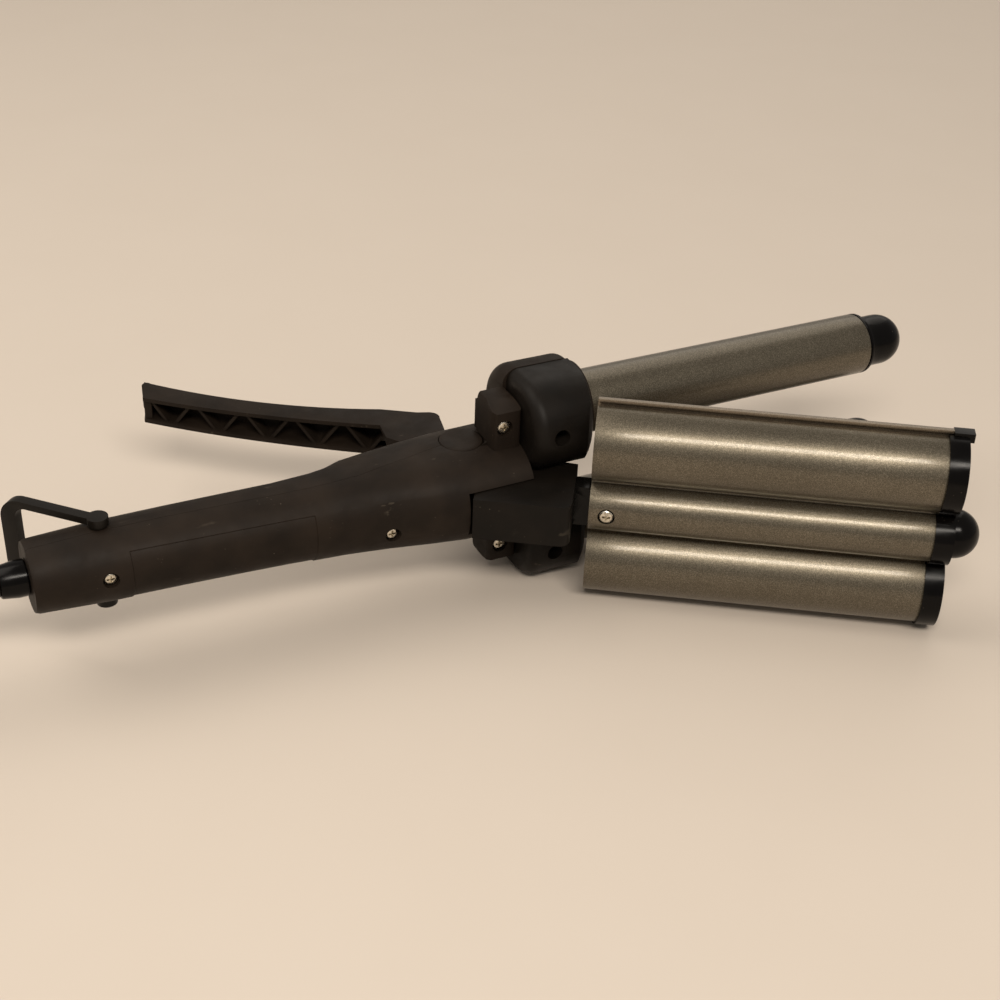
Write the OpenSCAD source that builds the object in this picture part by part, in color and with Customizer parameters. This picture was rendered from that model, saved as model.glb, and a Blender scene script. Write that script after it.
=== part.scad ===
// Hair waver: a pliers-type hot tool. A handle with a forked head carries two round
// barrels, one above the other, and a lever crosses it at a hinge pin and swings a
// three-ridged jaw against them. The tool lies on its side, open.
//
// X runs from the handle to the barrel tips, Y to the lever's side and Z up, along the
// hinge axis. The origin is on the table, straight below the hinge axis.
// Millimetres and degrees. Every piece of the moving arm is drawn closed, beside the
// barrels, and arm_pose() then swings it open.

/* [Opening] */
// Angle between the jaw and the barrels when the tool rests open
open_angle = 32.9; // [28:0.1:35]
// Turn of the hanging loop, from straight ahead along the handle
loop_angle = 134.4; // [110:0.1:150]

/* [Barrels] */
// Diameter of each barrel
barrel_d = 24; // [22:0.5:26]
// Half the distance between the barrel axes
barrel_offset = 24; // [23:0.1:25]
// Distance of the barrel axes in front of the hinge axis
barrel_front = 2.4; // [1:0.1:4]
// Wall of the barrel tube
barrel_wall = 1.2; // [0.8:0.1:1.6]
// Where the metal of a barrel ends, from the hinge axis
barrel_end = 172.6; // [160:0.2:190]
// Diameter of the rounded barrel tip
tip_d = 20; // [18:0.5:21.5]
// Thickness of the dark ring behind the tip
tip_ring = 1.6; // [1.2:0.1:3]
// Length of the straight part of the tip
tip_neck = 8.8; // [5:0.1:11]

/* [Jaw] */
// Root end of the jaw sheets, from the hinge axis
jaw_root = 49; // [48.8:0.1:52]
// Length of the jaw sheets
jaw_length = 122; // [105:1:135]
// Gap between the closed jaw plate and a barrel
plate_gap = 0.6; // [0.5:0.1:1]
// Thickness of the inner plate
plate_t = 1.1; // [0.8:0.1:1.4]
// Height of the plate's side flange above the hinge axis
flange_n = 1.4; // [0:0.1:2]
// Thickness of the flange's rolled edge
flange_t = 2; // [1.2:0.1:2.4]
// Width of the side flange beyond the plate's arch
flange_w = 3.1; // [2.5:0.1:5]
// Thickness of the outer cover
cover_t = 0.9; // [0.7:0.1:1.2]
// Height of the cover's outer edges above the hinge axis
cover_n = 4.4; // [3.8:0.1:6]
// Height of the middle ridge above the hinge axis
middle_top = 16.5; // [16:0.1:18]
// Half the distance between the two grooves
groove_offset = 10.2; // [9.8:0.1:10.6]
// Height of the groove floor above the hinge axis
groove_n = 8.4; // [8:0.1:9]
// Thickness of the black end cap
end_cap_t = 6.8; // [4:0.1:9]
// Radius of the rounded nose on the end cap
nose_r = 9; // [6:0.5:9.5]

/* [Handle] */
// Rear end of the handle, from the hinge axis
handle_rear = 158; // [150:1:170]
// Radius of the rear end
rear_r = 12.8; // [11.5:0.1:14]
// Half width of the handle where the hand holds it
grip_half_width = 14.1; // [13:0.1:15]
// Half width of the handle at the hinge
hinge_half_width = 17.2; // [16.8:0.1:18.5]
// Reach of the handle to the barrels' front side at the hinge
hinge_front = 25; // [24:0.1:27]
// Reach of the handle to the lever's side at the hinge
hinge_back = 20.6; // [19:0.1:23]
// Wall of the handle shells
shell_t = 2.2; // [1.8:0.1:2.6]
// Where the handle ends and the head begins
head_start = 19; // [18:0.5:20]

/* [Head] */
// Front end of the head frame
head_end = 46.4; // [45.5:0.1:47]
// Front end of the head's covers
cover_end = 43.8; // [42:0.1:44.5]
// Distance of the head's round lobes from the middle plane
lobe_offset = 23.4; // [23:0.1:24]
// Reach of the head cover's round front from the barrel axis
cover_bulge = 8; // [6:0.1:9]
// Reach of the head frame's round back from the barrel axis
frame_bulge = 3; // [1:0.1:5]
// Wall of the head pieces
head_wall = 2; // [1.6:0.1:2.2]
// Distance of a head screw from the hinge axis
ear_x = 12; // [11.6:0.1:12.4]
// Distance of a head screw from the middle plane
ear_z = 25.2; // [24:0.1:26]
// Reach of the screw ear towards the front
ear_front = 11.6; // [10:0.1:13]

/* [Moving arm] */
// Half width of the moving arm
arm_half_width = 8.2; // [7.5:0.1:8.4]
// Clearance beside the moving arm in its slot
arm_gap = 0.5; // [0.3:0.1:0.8]
// Radius of the arm's hub
hub_r = 11; // [10:0.1:11.5]
// Near side of the hinge block
block_start = 8.4; // [7.5:0.1:9]
// Far side of the hinge block
block_end = 43.2; // [41:0.1:43.6]
// Front face of the hinge block
block_front = 25.8; // [24:0.1:27]
// Radius of the block's far corner
block_round = 4; // [2:0.1:6]
// Reach of the lever from the hinge axis
lever_reach = 132; // [115:1:140]
// Half width of the lever's tip
lever_tip_half = 5.4; // [5:0.1:6.5]
// Half width of the lever's root
lever_root_half = 6.6; // [6:0.1:7.5]
// Wall of the hollow lever
lever_wall = 1.6; // [1.2:0.1:2.2]
// Distance between one bend of the zigzag rib and the next
rib_step = 9.9; // [8:0.1:12]
// Diameter of the hinge pin
pin_d = 6; // [5:0.1:6.5]
// Diameter of the round hinge cap
hinge_cap_d = 16.4; // [14:0.2:17]

/* [Hanging loop] */
// Distance of the loop's hinge from the main hinge axis
loop_x = 132.9; // [128:0.1:138]
// Reach of the loop
loop_reach = 37.4; // [34:0.1:40]
// Width of the loop's bar
loop_bar = 5.8; // [4:0.1:7]
// Thickness of the loop
loop_t = 3.8; // [3:0.1:5]
// Width of a leg of the loop
leg_w = 2.6; // [2:0.1:3]
// Diameter of the round eye at the foot of a leg
eye_d = 7.2; // [6:0.1:9]

/* [Switch and cord] */
// Travel of the heat switch
switch_travel = 6; // [4:0.5:8]
// Diameter of the cord
cord_d = 6.5; // [6:0.1:7]
// Length of the strain relief outside the handle
relief_length = 36; // [30:1:42]
// Diameter of the strain relief where it leaves the handle
relief_d = 12.8; // [11.5:0.1:13.5]

/* [Hidden] */
$fn = 96;
eps = 0.01;
fit = 0.1;       // clearance between pieces that stay together
run = 0.05;      // radial clearance of a turning fit

// Derived sizes
barrel_r = barrel_d / 2;
plate_r = barrel_r + plate_gap;                   // inside of the plate's arch
hump_r = barrel_offset - plate_r;                 // the hump between the barrels
flange_top = flange_n + flange_t;
jaw_half = barrel_offset + plate_r + plate_t + flange_w;
mid_z = jaw_half;                                 // height of the middle plane
hinge_y = 2.7;                                    // centres the whole over the origin
lobe_r = mid_z - lobe_offset;                     // the head rests on the table too
jaw_end = jaw_root + jaw_length;
ridge_r = plate_r + plate_t + fit + cover_t;      // the cover lies round the plate's arches
groove_lip = 0.5;                                 // half the flat floor of a groove
slot_half = arm_half_width + arm_gap;
liner_t = 1.5;                                    // wall around the arm's slot
seam_gap = 0.1;                                   // gap between the handle shells
screw_head_r = 2.6;
screw_shank_r = 1.4;
screw_head_h = 1.6;
recess_r = screw_head_r + 0.5;
post_r = 3.7;
handle_screw_r = 2.3;
rear_screw = [-133.4, 0.8];                       // along the handle, from the middle
front_screw = [-34.8, -3.5];

// ---------------------------------------------------------------- outlines

function mix(a, b, t) = a + (b - a) * t;
function bezier(a, b, c, t) = (1 - t) * (1 - t) * a + 2 * t * (1 - t) * b + t * t * c;
function bezier_line(a, b, c, steps) = [for (i = [0:steps]) bezier(a, b, c, i / steps)];

// Points on an arc round a centre, from one angle to another
function arc(centre, r, from, to, steps) =
    [for (i = [0:steps]) let (a = mix(from, to, i / steps)) centre + r * [cos(a), sin(a)]];

// A ring of the handle's section: a rounded oblong whose front and back reach differ
ring_points = 28;
function signed_power(v, p) = sign(v) * pow(abs(v), p);
function oblong(x, front, back, half, power, wall) = [for (i = [0:ring_points - 1])
    let (a = 360 * (i + 0.5) / ring_points, deep = (front + back) / 2 - wall,
         wide = half - wall, middle = (back - front) / 2)
    [x, middle + deep * signed_power(cos(a), 2 / power),
        -wide * signed_power(sin(a), 2 / power)]];

// Handle sections: distance from the hinge, front reach, back reach, half width, squareness
sections = [
    [-handle_rear, rear_r - 0.1, rear_r - 0.9, rear_r - 0.5, 2],
    [1.4 - handle_rear, rear_r + 0.5, rear_r - 0.4, rear_r, 2],
    [-133, grip_half_width + 0.7, grip_half_width - 0.9, grip_half_width - 0.2, 2],
    [-108, grip_half_width + 1.7, grip_half_width - 1, grip_half_width - 0.2, 2.1],
    [-88, grip_half_width + 2.7, grip_half_width - 1.5, grip_half_width, 2.1],
    [-71, grip_half_width + 3.5, grip_half_width - 2, grip_half_width + 0.2, 2.15],
    [-57, grip_half_width + 4.2, grip_half_width - 1.7, grip_half_width + 0.7, 2.2],
    [-50, grip_half_width + 4.7, grip_half_width - 0.5, grip_half_width + 1.1, 2.2],
    [-43, mix(grip_half_width + 2.8, hinge_front, 0.32), hinge_back - 4.4,
        hinge_half_width - 1.5, 2.3],
    [-34, hinge_front - 4.4, hinge_back - 3.2, hinge_half_width - 0.9, 2.3],
    [-20, hinge_front - 2.1, hinge_back - 1.8, hinge_half_width - 0.3, 2.4],
    [-6, hinge_front, hinge_back - 0.6, hinge_half_width, 2.5],
    [head_start, hinge_front - 0.5, hinge_back, hinge_half_width, 2.5]];

// The line along the handle's side where its shells meet
ear_seam = -1;                                     // its height behind the ears
seam = [[-handle_rear - 1, -2.7], [-110, -3.2], [-82, -4.6], [-60, -6], [-42, -6.2],
    [-24, -4], [-9, ear_seam], [head_start + 1, ear_seam]];

// Handle: walls, bosses, screws, cord clamp, wires, switch and lens
rear_wall = 2.4;
pin_boss_r = 7.6;
hinge_cap_z = hinge_half_width - 1.5;   // the cap sits in a round recess this far out
eye_pin_z = 8.5;                        // inner end of the loop's hinge pins
eye_pin_r = 1.8;
swivel_neck_r = relief_d / 2 - 1.2;
relief_end = -handle_rear - relief_length;
rear_screw_y = 1.2 - grip_half_width - 0.7;
front_screw_y = 6 - hinge_front;
clamp_x = [-147, -141];
clamp_z = 8.8;
clamp_screw_z = 6.4;
sheath_end = -139.5;
wire_r = 0.9;
wire_y = 8.8;                           // where the heater wires pass the hinge
wire_z = (slot_half + liner_t + 0.91 * (hinge_half_width - shell_t)) / 2;
switch_x = -100;                        // the slider's middle, at rest
switch_y = 2.6;
stem = [5, 3];
board_z = [-4.8, -3.2];
lens_x = -78;
lens_y = -1.5;
lens_r = 1.8;

// The space that the moving arm sweeps inside the handle, and its lining's outline
arm_space = [[-36, 30], [-36, 12.5], [-13.5, -4], [-12, -10], [-7, -14], [-7, -32],
    [head_start + 1, -32], [head_start + 1, 30]];
arm_lining = [[-36 - liner_t, 30], [-36 - liner_t, 11.7], [-15, -4.6], [-13.3, -11],
    [-7 - liner_t, -14.9], [-7 - liner_t, -32], [head_start, -32], [head_start, 30]];

// Head: ears, covers, barrels and heaters
frame_split = 2.5;                      // the frame meets the cover behind the lobes' axes
slot_wall = 1.8;                        // the head's wall beside the arm's slot
cover_screw_x = 28.4;
cover_screw_z = ear_z - 0.5;
ring_r = 15.4;                          // the dark ring beyond the covers
cover_round = 9;                        // rounding of the cover towards its far end
ear_back = frame_split - fit;           // the ear ends here, in front of the frame's tab
ear_mid = ear_x - 0.4;
ear_half = 7;
ear_top = ear_z + 9;
barrel_start = 33.5;
heater_x = [60, 150];

// Moving arm: half width at each place along it, lever, ribs, spring and screws
arm_plan = [[-lever_reach - 13, lever_tip_half - 0.1], [-22, lever_root_half + 0.1],
    [-10, arm_half_width], [60, arm_half_width]];
lever_end = [-0.3 - lever_reach, 40.9];         // the tip's outer corner
lever_top = 34.8;                               // reach of the lever's back near the hinge
channel_end = -29.5;                            // where the lever's hollow ends
outer_line = bezier_line(lever_end, [-0.636 * lever_reach, 27.5], [-36, lever_top], 16);
rim_line = concat([[channel_end - 0.5, 14]],
    bezier_line([-34, 22.5], [-0.655 * lever_reach, 21], [3 - lever_reach, 28.5], 14));
zig_start = 4 - lever_reach;
zig_count = floor((channel_end - 5 - zig_start) / rib_step);
bush_r = 4.4;
spring_r = 5.9;         // of the spring's coil, to the middle of its wire
spring_wire = 1.4;
spring_pocket_z = 1.8;
spring_pocket_depth = arm_half_width - spring_pocket_z;
arm_screw_z = 5.4;

// Jaw: middle ridge, bracket and screw
middle_half = groove_offset - groove_lip;
middle_sag = middle_top - groove_n;
middle_ridge_r = (middle_half * middle_half + middle_sag * middle_sag) / 2 / middle_sag;
bracket_n = [3.2, 10.6];
bracket_half = [5.9, 8.1, 7.6];         // in the block, between and in the jaw
jaw_screw_x = jaw_root + 6.4;
jaw_post_r = 3;         // its top meets the inside of the cover
jaw_post_n = middle_top - middle_ridge_r
    + sqrt(pow(middle_ridge_r - cover_t - fit, 2) - jaw_post_r * jaw_post_r);
jaw_screw_l = jaw_post_n + screw_head_h - bracket_n[0] - 1.2;

// The cord's route from the strain relief to the coil, and the coil's place
cord_z = cord_d / 2;
lead = [[relief_end, 0, mid_z], [-201, 0, mid_z], [-209, 0, mid_z - 1], [-216, -0.2, 36.5],
    [-224, -0.4, 31.2], [-232, -0.7, 24.5], [-240, -1, 17.5], [-248, -1.2, 11],
    [-256, -1.4, 6.5], [-264, -1.6, 4], [-272, -2, cord_z], [-281, -3, cord_z],
    [-290, -5.6, cord_z], [-298, -9.8, cord_z], [-305, -15.6, cord_z], [-310.5, -22.8, cord_z],
    [-314, -31, cord_z], [-315, -40, cord_z]];
coil_at = [-272, hinge_y - 52];
coil_r = [26, 46];
coil_h = 19.5;
plug_at = [coil_at.x + 15, coil_at.y - 28, coil_h + 0.2];

// A solid lofted through rings of equal point counts
module loft(rings) {
    m = len(rings[0]);
    polyhedron(points = [for (r = rings) each r], faces = concat(
        [[for (i = [0:m - 1]) m - 1 - i]],
        [for (s = [0:len(rings) - 2]) for (i = [0:m - 1]) let (j = (i + 1) % m)
            each [[s * m + i, s * m + j, (s + 1) * m + j],
                [s * m + i, (s + 1) * m + j, (s + 1) * m + i]]],
        [[for (i = [0:m - 1]) (len(rings) - 1) * m + i]]));
}

// A round tube swept along points, with its rings kept square to the path
function unit(v) = v / norm(v);
function path_dir(p, i) = unit(p[min(i + 1, len(p) - 1)] - p[max(i - 1, 0)]);
function side_dir(d) = unit(cross(d, abs(d.z) < 0.9 ? [0, 0, 1] : [1, 0, 0]));
module tube(points, r, sides) {
    loft([for (i = [0:len(points) - 1])
        let (d = path_dir(points, i), u = side_dir(d), v = cross(u, d))
        [for (k = [0:sides - 1]) let (a = 360 * k / sides)
            points[i] + r * (cos(a) * u + sin(a) * v)]]);
}

// Lift a piece to the middle plane
module on_mid() { translate([0, hinge_y, mid_z]) children(); }
// Swing a piece of the moving arm from closed to open
module arm_pose() { on_mid() rotate([0, 0, -open_angle]) children(); }
// Extrude an outline in the X-Y plane evenly about the middle plane
module slab(half) { linear_extrude(2 * half, center = true) children(); }
// Extrude along X an outline drawn with (height above the hinge axis, distance from the middle)
module along_x(from, to) {
    translate([from, 0, 0]) rotate([90, 0, 90]) linear_extrude(to - from)
        mirror([1, 0]) children();
}
// A cylinder along X, Y or Z between two places
module rod_x(from, to, r) { translate([from, 0, 0]) rotate([0, 90, 0]) cylinder(h = to - from, r = r); }
module rod_y(from, to, r) { translate([0, from, 0]) rotate([-90, 0, 0]) cylinder(h = to - from, r = r); }
module rod_z(from, to, r) { translate([0, 0, from]) cylinder(h = to - from, r = r); }
// A box between two corners
module box(a, b) { translate(a) cube(b - a); }
// The mirror image across the middle plane, where s is below 0
module flip_z(s) { mirror([0, 0, s < 0 ? 1 : 0]) children(); }
// A screw with a flat head; its head's top is at the origin and it points to +Y
module screw(length, head) {
    rod_y(0, screw_head_h, head);
    rod_y(screw_head_h - eps, length, screw_shank_r);
}

// ---------------------------------------------------------------- handle

module handle_body(wall) {
    loft([for (s = sections) oblong(s[0], s[1], s[2], s[3], s[4], wall)]);
}

module handle_hollow() {
    intersection() {
        handle_body(shell_t);
        box([rear_wall - handle_rear, -60, -60], [head_start + 1, 60, 60]);
    }
}

// What stands inside the shells: the slot's lining, bosses and screw posts
module handle_inside() {
    slab(slot_half + liner_t) polygon(arm_lining);
    rod_z(-60, 60, pin_boss_r);
    for (s = [-1, 1]) flip_z(s) {
        translate([-loop_x, 0, 0]) rod_z(eye_pin_z - 0.4, 60, eye_pin_r + 1.8);
        box([clamp_x[0], -30, clamp_screw_z - 2.2], [clamp_x[1], -3.1, clamp_screw_z + 2.2]);
    }
    translate([rear_screw[0], 0, rear_screw[1]]) rod_y(-30, 30, post_r);
    translate([front_screw[0], 0, front_screw[1]]) rod_y(-30, 9.6, post_r);
}

module handle_solid() {
    difference() {
        union() {
            difference() {
                handle_body(0);
                handle_hollow();
            }
            intersection() {
                handle_body(shell_t / 2);
                handle_inside();
            }
        }
        slab(slot_half) polygon(arm_space);
        rod_z(-60, 60, pin_d / 2 + 0.02);
        for (s = [-1, 1]) flip_z(s) {
            rod_z(hinge_cap_z, 60, hinge_cap_d / 2 + fit);
            translate([-loop_x, 0, 0]) rod_z(eye_pin_z, 60, eye_pin_r + run);
            translate([clamp_x[0] + 3, 0, clamp_screw_z]) rod_y(-9, 0, 1.2);
        }
        rod_x(-handle_rear - 1, rear_wall - handle_rear + 1, swivel_neck_r + run);
        translate([0, spring_r, 0]) rod_z(0, 10.6, 0.9);
        box([switch_x - stem.x / 2 - 0.3, switch_y - stem.y / 2 - 0.3, -60],
            [switch_x + stem.x / 2 + switch_travel + 0.3, switch_y + stem.y / 2 + 0.3, -8]);
        translate([lens_x, lens_y, 0]) rod_z(-60, -9, lens_r + fit);
    }
}

// The part of a solid on one side of the line where the shells meet
module seam_side(front) {
    far = front ? -60 : 60;
    shift = [0, front ? -seam_gap / 2 : seam_gap / 2];
    slab(60) polygon(concat([for (p = seam) p + shift],
        [[head_start + 1, far], [-handle_rear - 1, far]]));
}

// The ear that a head screw goes through: its outline from the front, from above and
// from the side, cut into one another
module ear() {
    left = ear_mid - ear_half;
    right = ear_mid + ear_half;
    intersection() {
        rotate([90, 0, 0]) linear_extrude(80, center = true) polygon(concat([[left, 12]],
            arc([left + 4, ear_top - 4], 4, 180, 90, 8),
            arc([right - 2, ear_top - 2], 2, 90, 0, 5), [[right, 12]]));
        linear_extrude(60) polygon(concat([[left, ear_back]],
            arc([left + 4.5, 4.5 - ear_front], 4.5, 180, 270, 8),
            arc([right - 1.2, 1.2 - ear_front], 1.2, 270, 360, 4), [[right, ear_back]]));
        rotate([90, 0, 90]) linear_extrude(60) polygon([[-ear_front, 12],
            [-ear_front, ear_top - 2.7], [-3, ear_top - 0.2], [ear_back, ear_top], [ear_back, 12]]);
    }
}

module handle_front_shell() {
    color("#26241f") on_mid() difference() {
        union() {
            intersection() {
                handle_solid();
                seam_side(true);
            }
            for (s = [-1, 1]) flip_z(s) difference() {
                ear();
                box([-20, -40, -1], [head_start + 1, 40, hinge_half_width - shell_t]);
                box([-20, ear_seam - fit, -1], [head_start + 1, 40, hinge_half_width + fit]);
            }
        }
        for (s = [-1, 1]) {
            translate([ear_x, -ear_front, s * ear_z]) {
                rod_y(-1, 0.6 + screw_head_h, recess_r);
                rod_y(0, 30, screw_shank_r + fit);
            }
            flip_z(s) rod_z(hinge_cap_z, hinge_half_width + 1, hinge_cap_d / 2 + fit);
        }
        translate([rear_screw[0], 0, rear_screw[1]]) {
            rod_y(-40, rear_screw_y + screw_head_h, handle_screw_r + 0.5);
            rod_y(-40, 20, screw_shank_r + fit);
        }
        translate([front_screw[0], 0, front_screw[1]]) {
            rod_y(-40, front_screw_y + screw_head_h, handle_screw_r + 0.5);
            rod_y(-40, 20, screw_shank_r + fit);
        }
    }
}

module handle_back_shell() {
    color("#26241f") on_mid() difference() {
        intersection() {
            handle_solid();
            seam_side(false);
        }
        translate([rear_screw[0], 0, rear_screw[1]]) rod_y(-40, 9, screw_shank_r + fit);
        translate([front_screw[0], 0, front_screw[1]]) rod_y(-40, 8, screw_shank_r + fit);
    }
}

// ---------------------------------------------------------------- head

// One lobe of the head, whose round side faces +Y: half a solid of revolution round a
// line beside the barrel, and a straight part down to a given depth. near and far are
// the radii of its shoulders.
module lobe(from, to, r, bulge, reach, near, far) {
    outline = concat([[0, from], [r - near, from]],
        arc([r - near, from + near], near, -90, 0, 10),
        arc([r - far, to - far], far, 0, 90, 6), [[0, to]]);
    wide = concat([for (p = outline) [p.y, p.x]],
        [for (i = [len(outline) - 1:-1:0]) [outline[i].y, -outline[i].x]]);
    translate([0, bulge, lobe_offset]) {
        rotate([0, 90, 0]) intersection() {
            rotate_extrude() polygon(outline);
            translate([-60, -eps, -10]) cube([120, 60, 100]);
        }
        rotate([90, 0, 0]) linear_extrude(reach) polygon(wide);
    }
}

module beyond_slot(wall) { box([-60, -60, slot_half + wall], [80, 60, 80]); }

// The solid of revolution that rounds a cover off towards its far end
module cover_limit(shrink) {
    r = lobe_r - 0.2 - shrink;
    translate([0, 0, lobe_offset]) rotate([0, 90, 0]) rotate_extrude() polygon(concat(
        [[0, head_start - 5], [r + cover_round, head_start - 5]],
        arc([r, cover_end - shrink - cover_round], cover_round, 0, 90, 10),
        [[0, cover_end - shrink]]));
}

// The hole for the heater wires between the handle and the head
module wire_hole() {
    translate([0, wire_y, wire_z]) rod_x(head_start - 4, head_start + 6, wire_r + 0.4);
}

module head_cover() {
    r = lobe_r - 0.2;
    reach = cover_bulge + frame_split - fit;
    difference() {
        intersection() {
            mirror([0, 1, 0]) lobe(head_start, cover_end + 1, r, cover_bulge, reach, 4.5, eps);
            cover_limit(0);
            beyond_slot(0);
        }
        difference() {
            intersection() {
                mirror([0, 1, 0]) lobe(head_start + head_wall, cover_end, r - head_wall,
                    cover_bulge, reach + 1, 3, eps);
                cover_limit(head_wall);
                beyond_slot(slot_wall);
            }
            translate([cover_screw_x, 0, cover_screw_z]) rod_y(-30, 20, recess_r + 1.5);
        }
        translate([0, -barrel_front, barrel_offset])
            rod_x(cover_end - head_wall - 1, cover_end + 1, barrel_r + fit);
        translate([cover_screw_x, 0, cover_screw_z]) {
            rod_y(-60, -4, recess_r);
            rod_y(-60, 20, screw_shank_r + fit);
        }
    }
}

module frame_lobe() {
    reach = frame_bulge - frame_split + 0.5;
    difference() {
        union() {
            intersection() {
                lobe(head_start - 1.5, cover_end + 0.5, lobe_r, frame_bulge, reach, 6, 3);
                box([0, frame_split, 0], [80, 60, 80]);
            }
            translate([0, 0, lobe_offset]) rod_x(cover_end + fit, head_end, ring_r);
            box([ear_mid - 3, ear_back + fit, 12], [head_start + 3, 6.5, ear_z + 3.8]);
        }
        difference() {
            intersection() {
                lobe(head_start + head_wall, cover_end - head_wall, lobe_r - head_wall,
                    frame_bulge, reach + 1, 4, 2);
                beyond_slot(slot_wall);
            }
            translate([cover_screw_x, 0, cover_screw_z]) rod_y(frame_split, 60, post_r);
        }
        translate([0, -barrel_front, barrel_offset]) rod_x(barrel_start - 1, head_end + 1, barrel_r + fit);
        translate([ear_x, 0, ear_z]) rod_y(-40, 8, screw_shank_r + fit);
        translate([cover_screw_x, 0, cover_screw_z]) rod_y(-40, 16, screw_shank_r + fit);
        box([-60, -60, -80], [80, 60, slot_half]);
        wire_hole();
    }
}

module head_frame() {
    color("#2b2823") on_mid() difference() {
        union() {
            for (s = [-1, 1]) flip_z(s) frame_lobe();
            box([head_start + 2.5, 13, -slot_half - 1], [cover_end - 2, 16, slot_half + 1]);
        }
        box([-60, -60, -hinge_half_width - fit], [head_start, 60, hinge_half_width + fit]);
    }
}
module upper_head_cover() { color("#221f1c") on_mid() head_cover(); }
module lower_head_cover() { color("#221f1c") on_mid() flip_z(-1) head_cover(); }

// ---------------------------------------------------------------- barrels

module on_barrel(side) { on_mid() translate([0, -barrel_front, side * barrel_offset]) children(); }

module barrel(side) {
    color("#77705f") on_barrel(side) difference() {
        rod_x(barrel_start, barrel_end, barrel_r);
        rod_x(barrel_start - 1, barrel_end + 1, barrel_r - barrel_wall);
    }
}
module barrel_tip(side) {
    tip_r = tip_d / 2;
    ball_x = barrel_end + tip_ring + tip_neck;
    color("#141210") on_barrel(side) {
        rod_x(barrel_end - 8, barrel_end + eps, barrel_r - barrel_wall - fit);
        rod_x(barrel_end, barrel_end + tip_ring, barrel_r);
        rod_x(barrel_end + tip_ring - eps, ball_x, tip_r);
        intersection() {
            translate([ball_x, 0, 0]) sphere(tip_r);
            box([ball_x - eps, -60, -60], [ball_x + 60, 60, 60]);
        }
    }
}
// A flat ceramic heater, gripped between the two halves of an aluminium clip
module heater(side) {
    color("#d9d4c8") on_barrel(side) box([heater_x[0], -7, -1.8], [heater_x[1], 7, 1.8]);
}
module heater_clip(side) {
    color("#b8b8b4") on_barrel(side) difference() {
        rod_x(heater_x[0], heater_x[1], barrel_r - barrel_wall - fit);
        box([0, -60, -1.85], [300, 60, 1.85]);
    }
}
module upper_barrel() { barrel(1); }
module lower_barrel() { barrel(-1); }
module upper_barrel_tip() { barrel_tip(1); }
module lower_barrel_tip() { barrel_tip(-1); }
module upper_heater() { heater(1); }
module lower_heater() { heater(-1); }
module upper_heater_clip() { heater_clip(1); }
module lower_heater_clip() { heater_clip(-1); }
module thermostat() {
    color("#9a8f7a") on_barrel(1) {
        box([heater_x[0] - 12, -4, -2.5], [heater_x[0] - 0.1, 4, 2.5]);
        translate([heater_x[0] - 6, 0, 2.4]) rod_z(0, 2.2, 3);
    }
}

// ---------------------------------------------------------------- inside the handle

module circuit_board() {
    color("#3f6b3a") on_mid() box([-124, -11.5, board_z[0]], [-70, 8.3, board_z[1]]);
}
module board_components() {
    color("#8a8478") on_mid() translate([0, 0, board_z[1]]) {
        box([-121, -8, 0], [-107, 2, 8]);
        translate([-99, -4, 0]) rod_z(0, 9, 4);
        box([-91, -9, 0], [-83, 4, 5]);
        translate([-76, 1, 0]) rod_z(0, 4, 2.5);
    }
}
module switch_housing() {
    color("#1a1a1a") on_mid() difference() {
        box([switch_x - 9, switch_y - 3, -9.3],
            [switch_x + 9 + switch_travel, switch_y + 3, board_z[0]]);
        box([switch_x - 5, switch_y - 2.3, -11],
            [switch_x + 5 + switch_travel, switch_y + 2.3, -6.6]);
    }
}
module switch_slider() {
    knob_z = -grip_half_width - 0.3;
    color("#1c1a18") on_mid() {
        box([switch_x - 4, switch_y - 2, -8.4], [switch_x + 4, switch_y + 2, -6.9]);
        box([switch_x - stem.x / 2, switch_y - stem.y / 2, knob_z - 0.3],
            [switch_x + stem.x / 2, switch_y + stem.y / 2, -8.4 + eps]);
        box([switch_x - 6, switch_y - 3, knob_z - 0.6], [switch_x + 6, switch_y + 3, knob_z]);
        for (k = [-1:1]) box([switch_x + k * 3.4 - 1.2, switch_y - 3, knob_z - 0.9],
            [switch_x + k * 3.4 + 1.2, switch_y + 3, knob_z - 0.5]);
    }
}
module indicator_lens() {
    color("#a8221c") on_mid() translate([lens_x, lens_y, 0]) {
        rod_z(-grip_half_width - 0.3, -8.6, lens_r);
        rod_z(-8.7, -7.2, lens_r + 0.7);
    }
}
module cord_clamp() {
    color("#1f1f1f") on_mid() difference() {
        box([clamp_x[0], -3, -clamp_z], [clamp_x[1], 3.4, clamp_z]);
        rod_x(-160, -130, 2.85);
        for (s = [-1, 1]) translate([clamp_x[0] + 3, 0, s * clamp_screw_z]) rod_y(-9, 9, 1.3);
    }
}
module clamp_screws() {
    color("#b9b4a6") on_mid() for (s = [-1, 1])
        translate([clamp_x[0] + 3, 5, s * clamp_screw_z]) mirror([0, 1, 0]) {
            rod_y(0, 1.6, 2.2);
            rod_y(1.5, 13, 1.15);
        }
}
module supply_wires() {
    color("#2b4f8a") on_mid() {
        rod_x(rear_wall - handle_rear + 2.3, sheath_end, 2.8);
        for (s = [-1, 1]) tube(concat(bezier_line([sheath_end - 0.5, 0, s * 1.3],
            [sheath_end + 2, 0, s * 7], [rear_screw[0], 0, s * 6.5], 6),
            bezier_line([rear_screw[0] + 2, 0, s * 6.2], [-129, 0, s > 0 ? 5 : -1.6],
            [-122, s * 3, board_z[1] + 1.2], 6)), 1, 8);
    }
}
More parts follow.
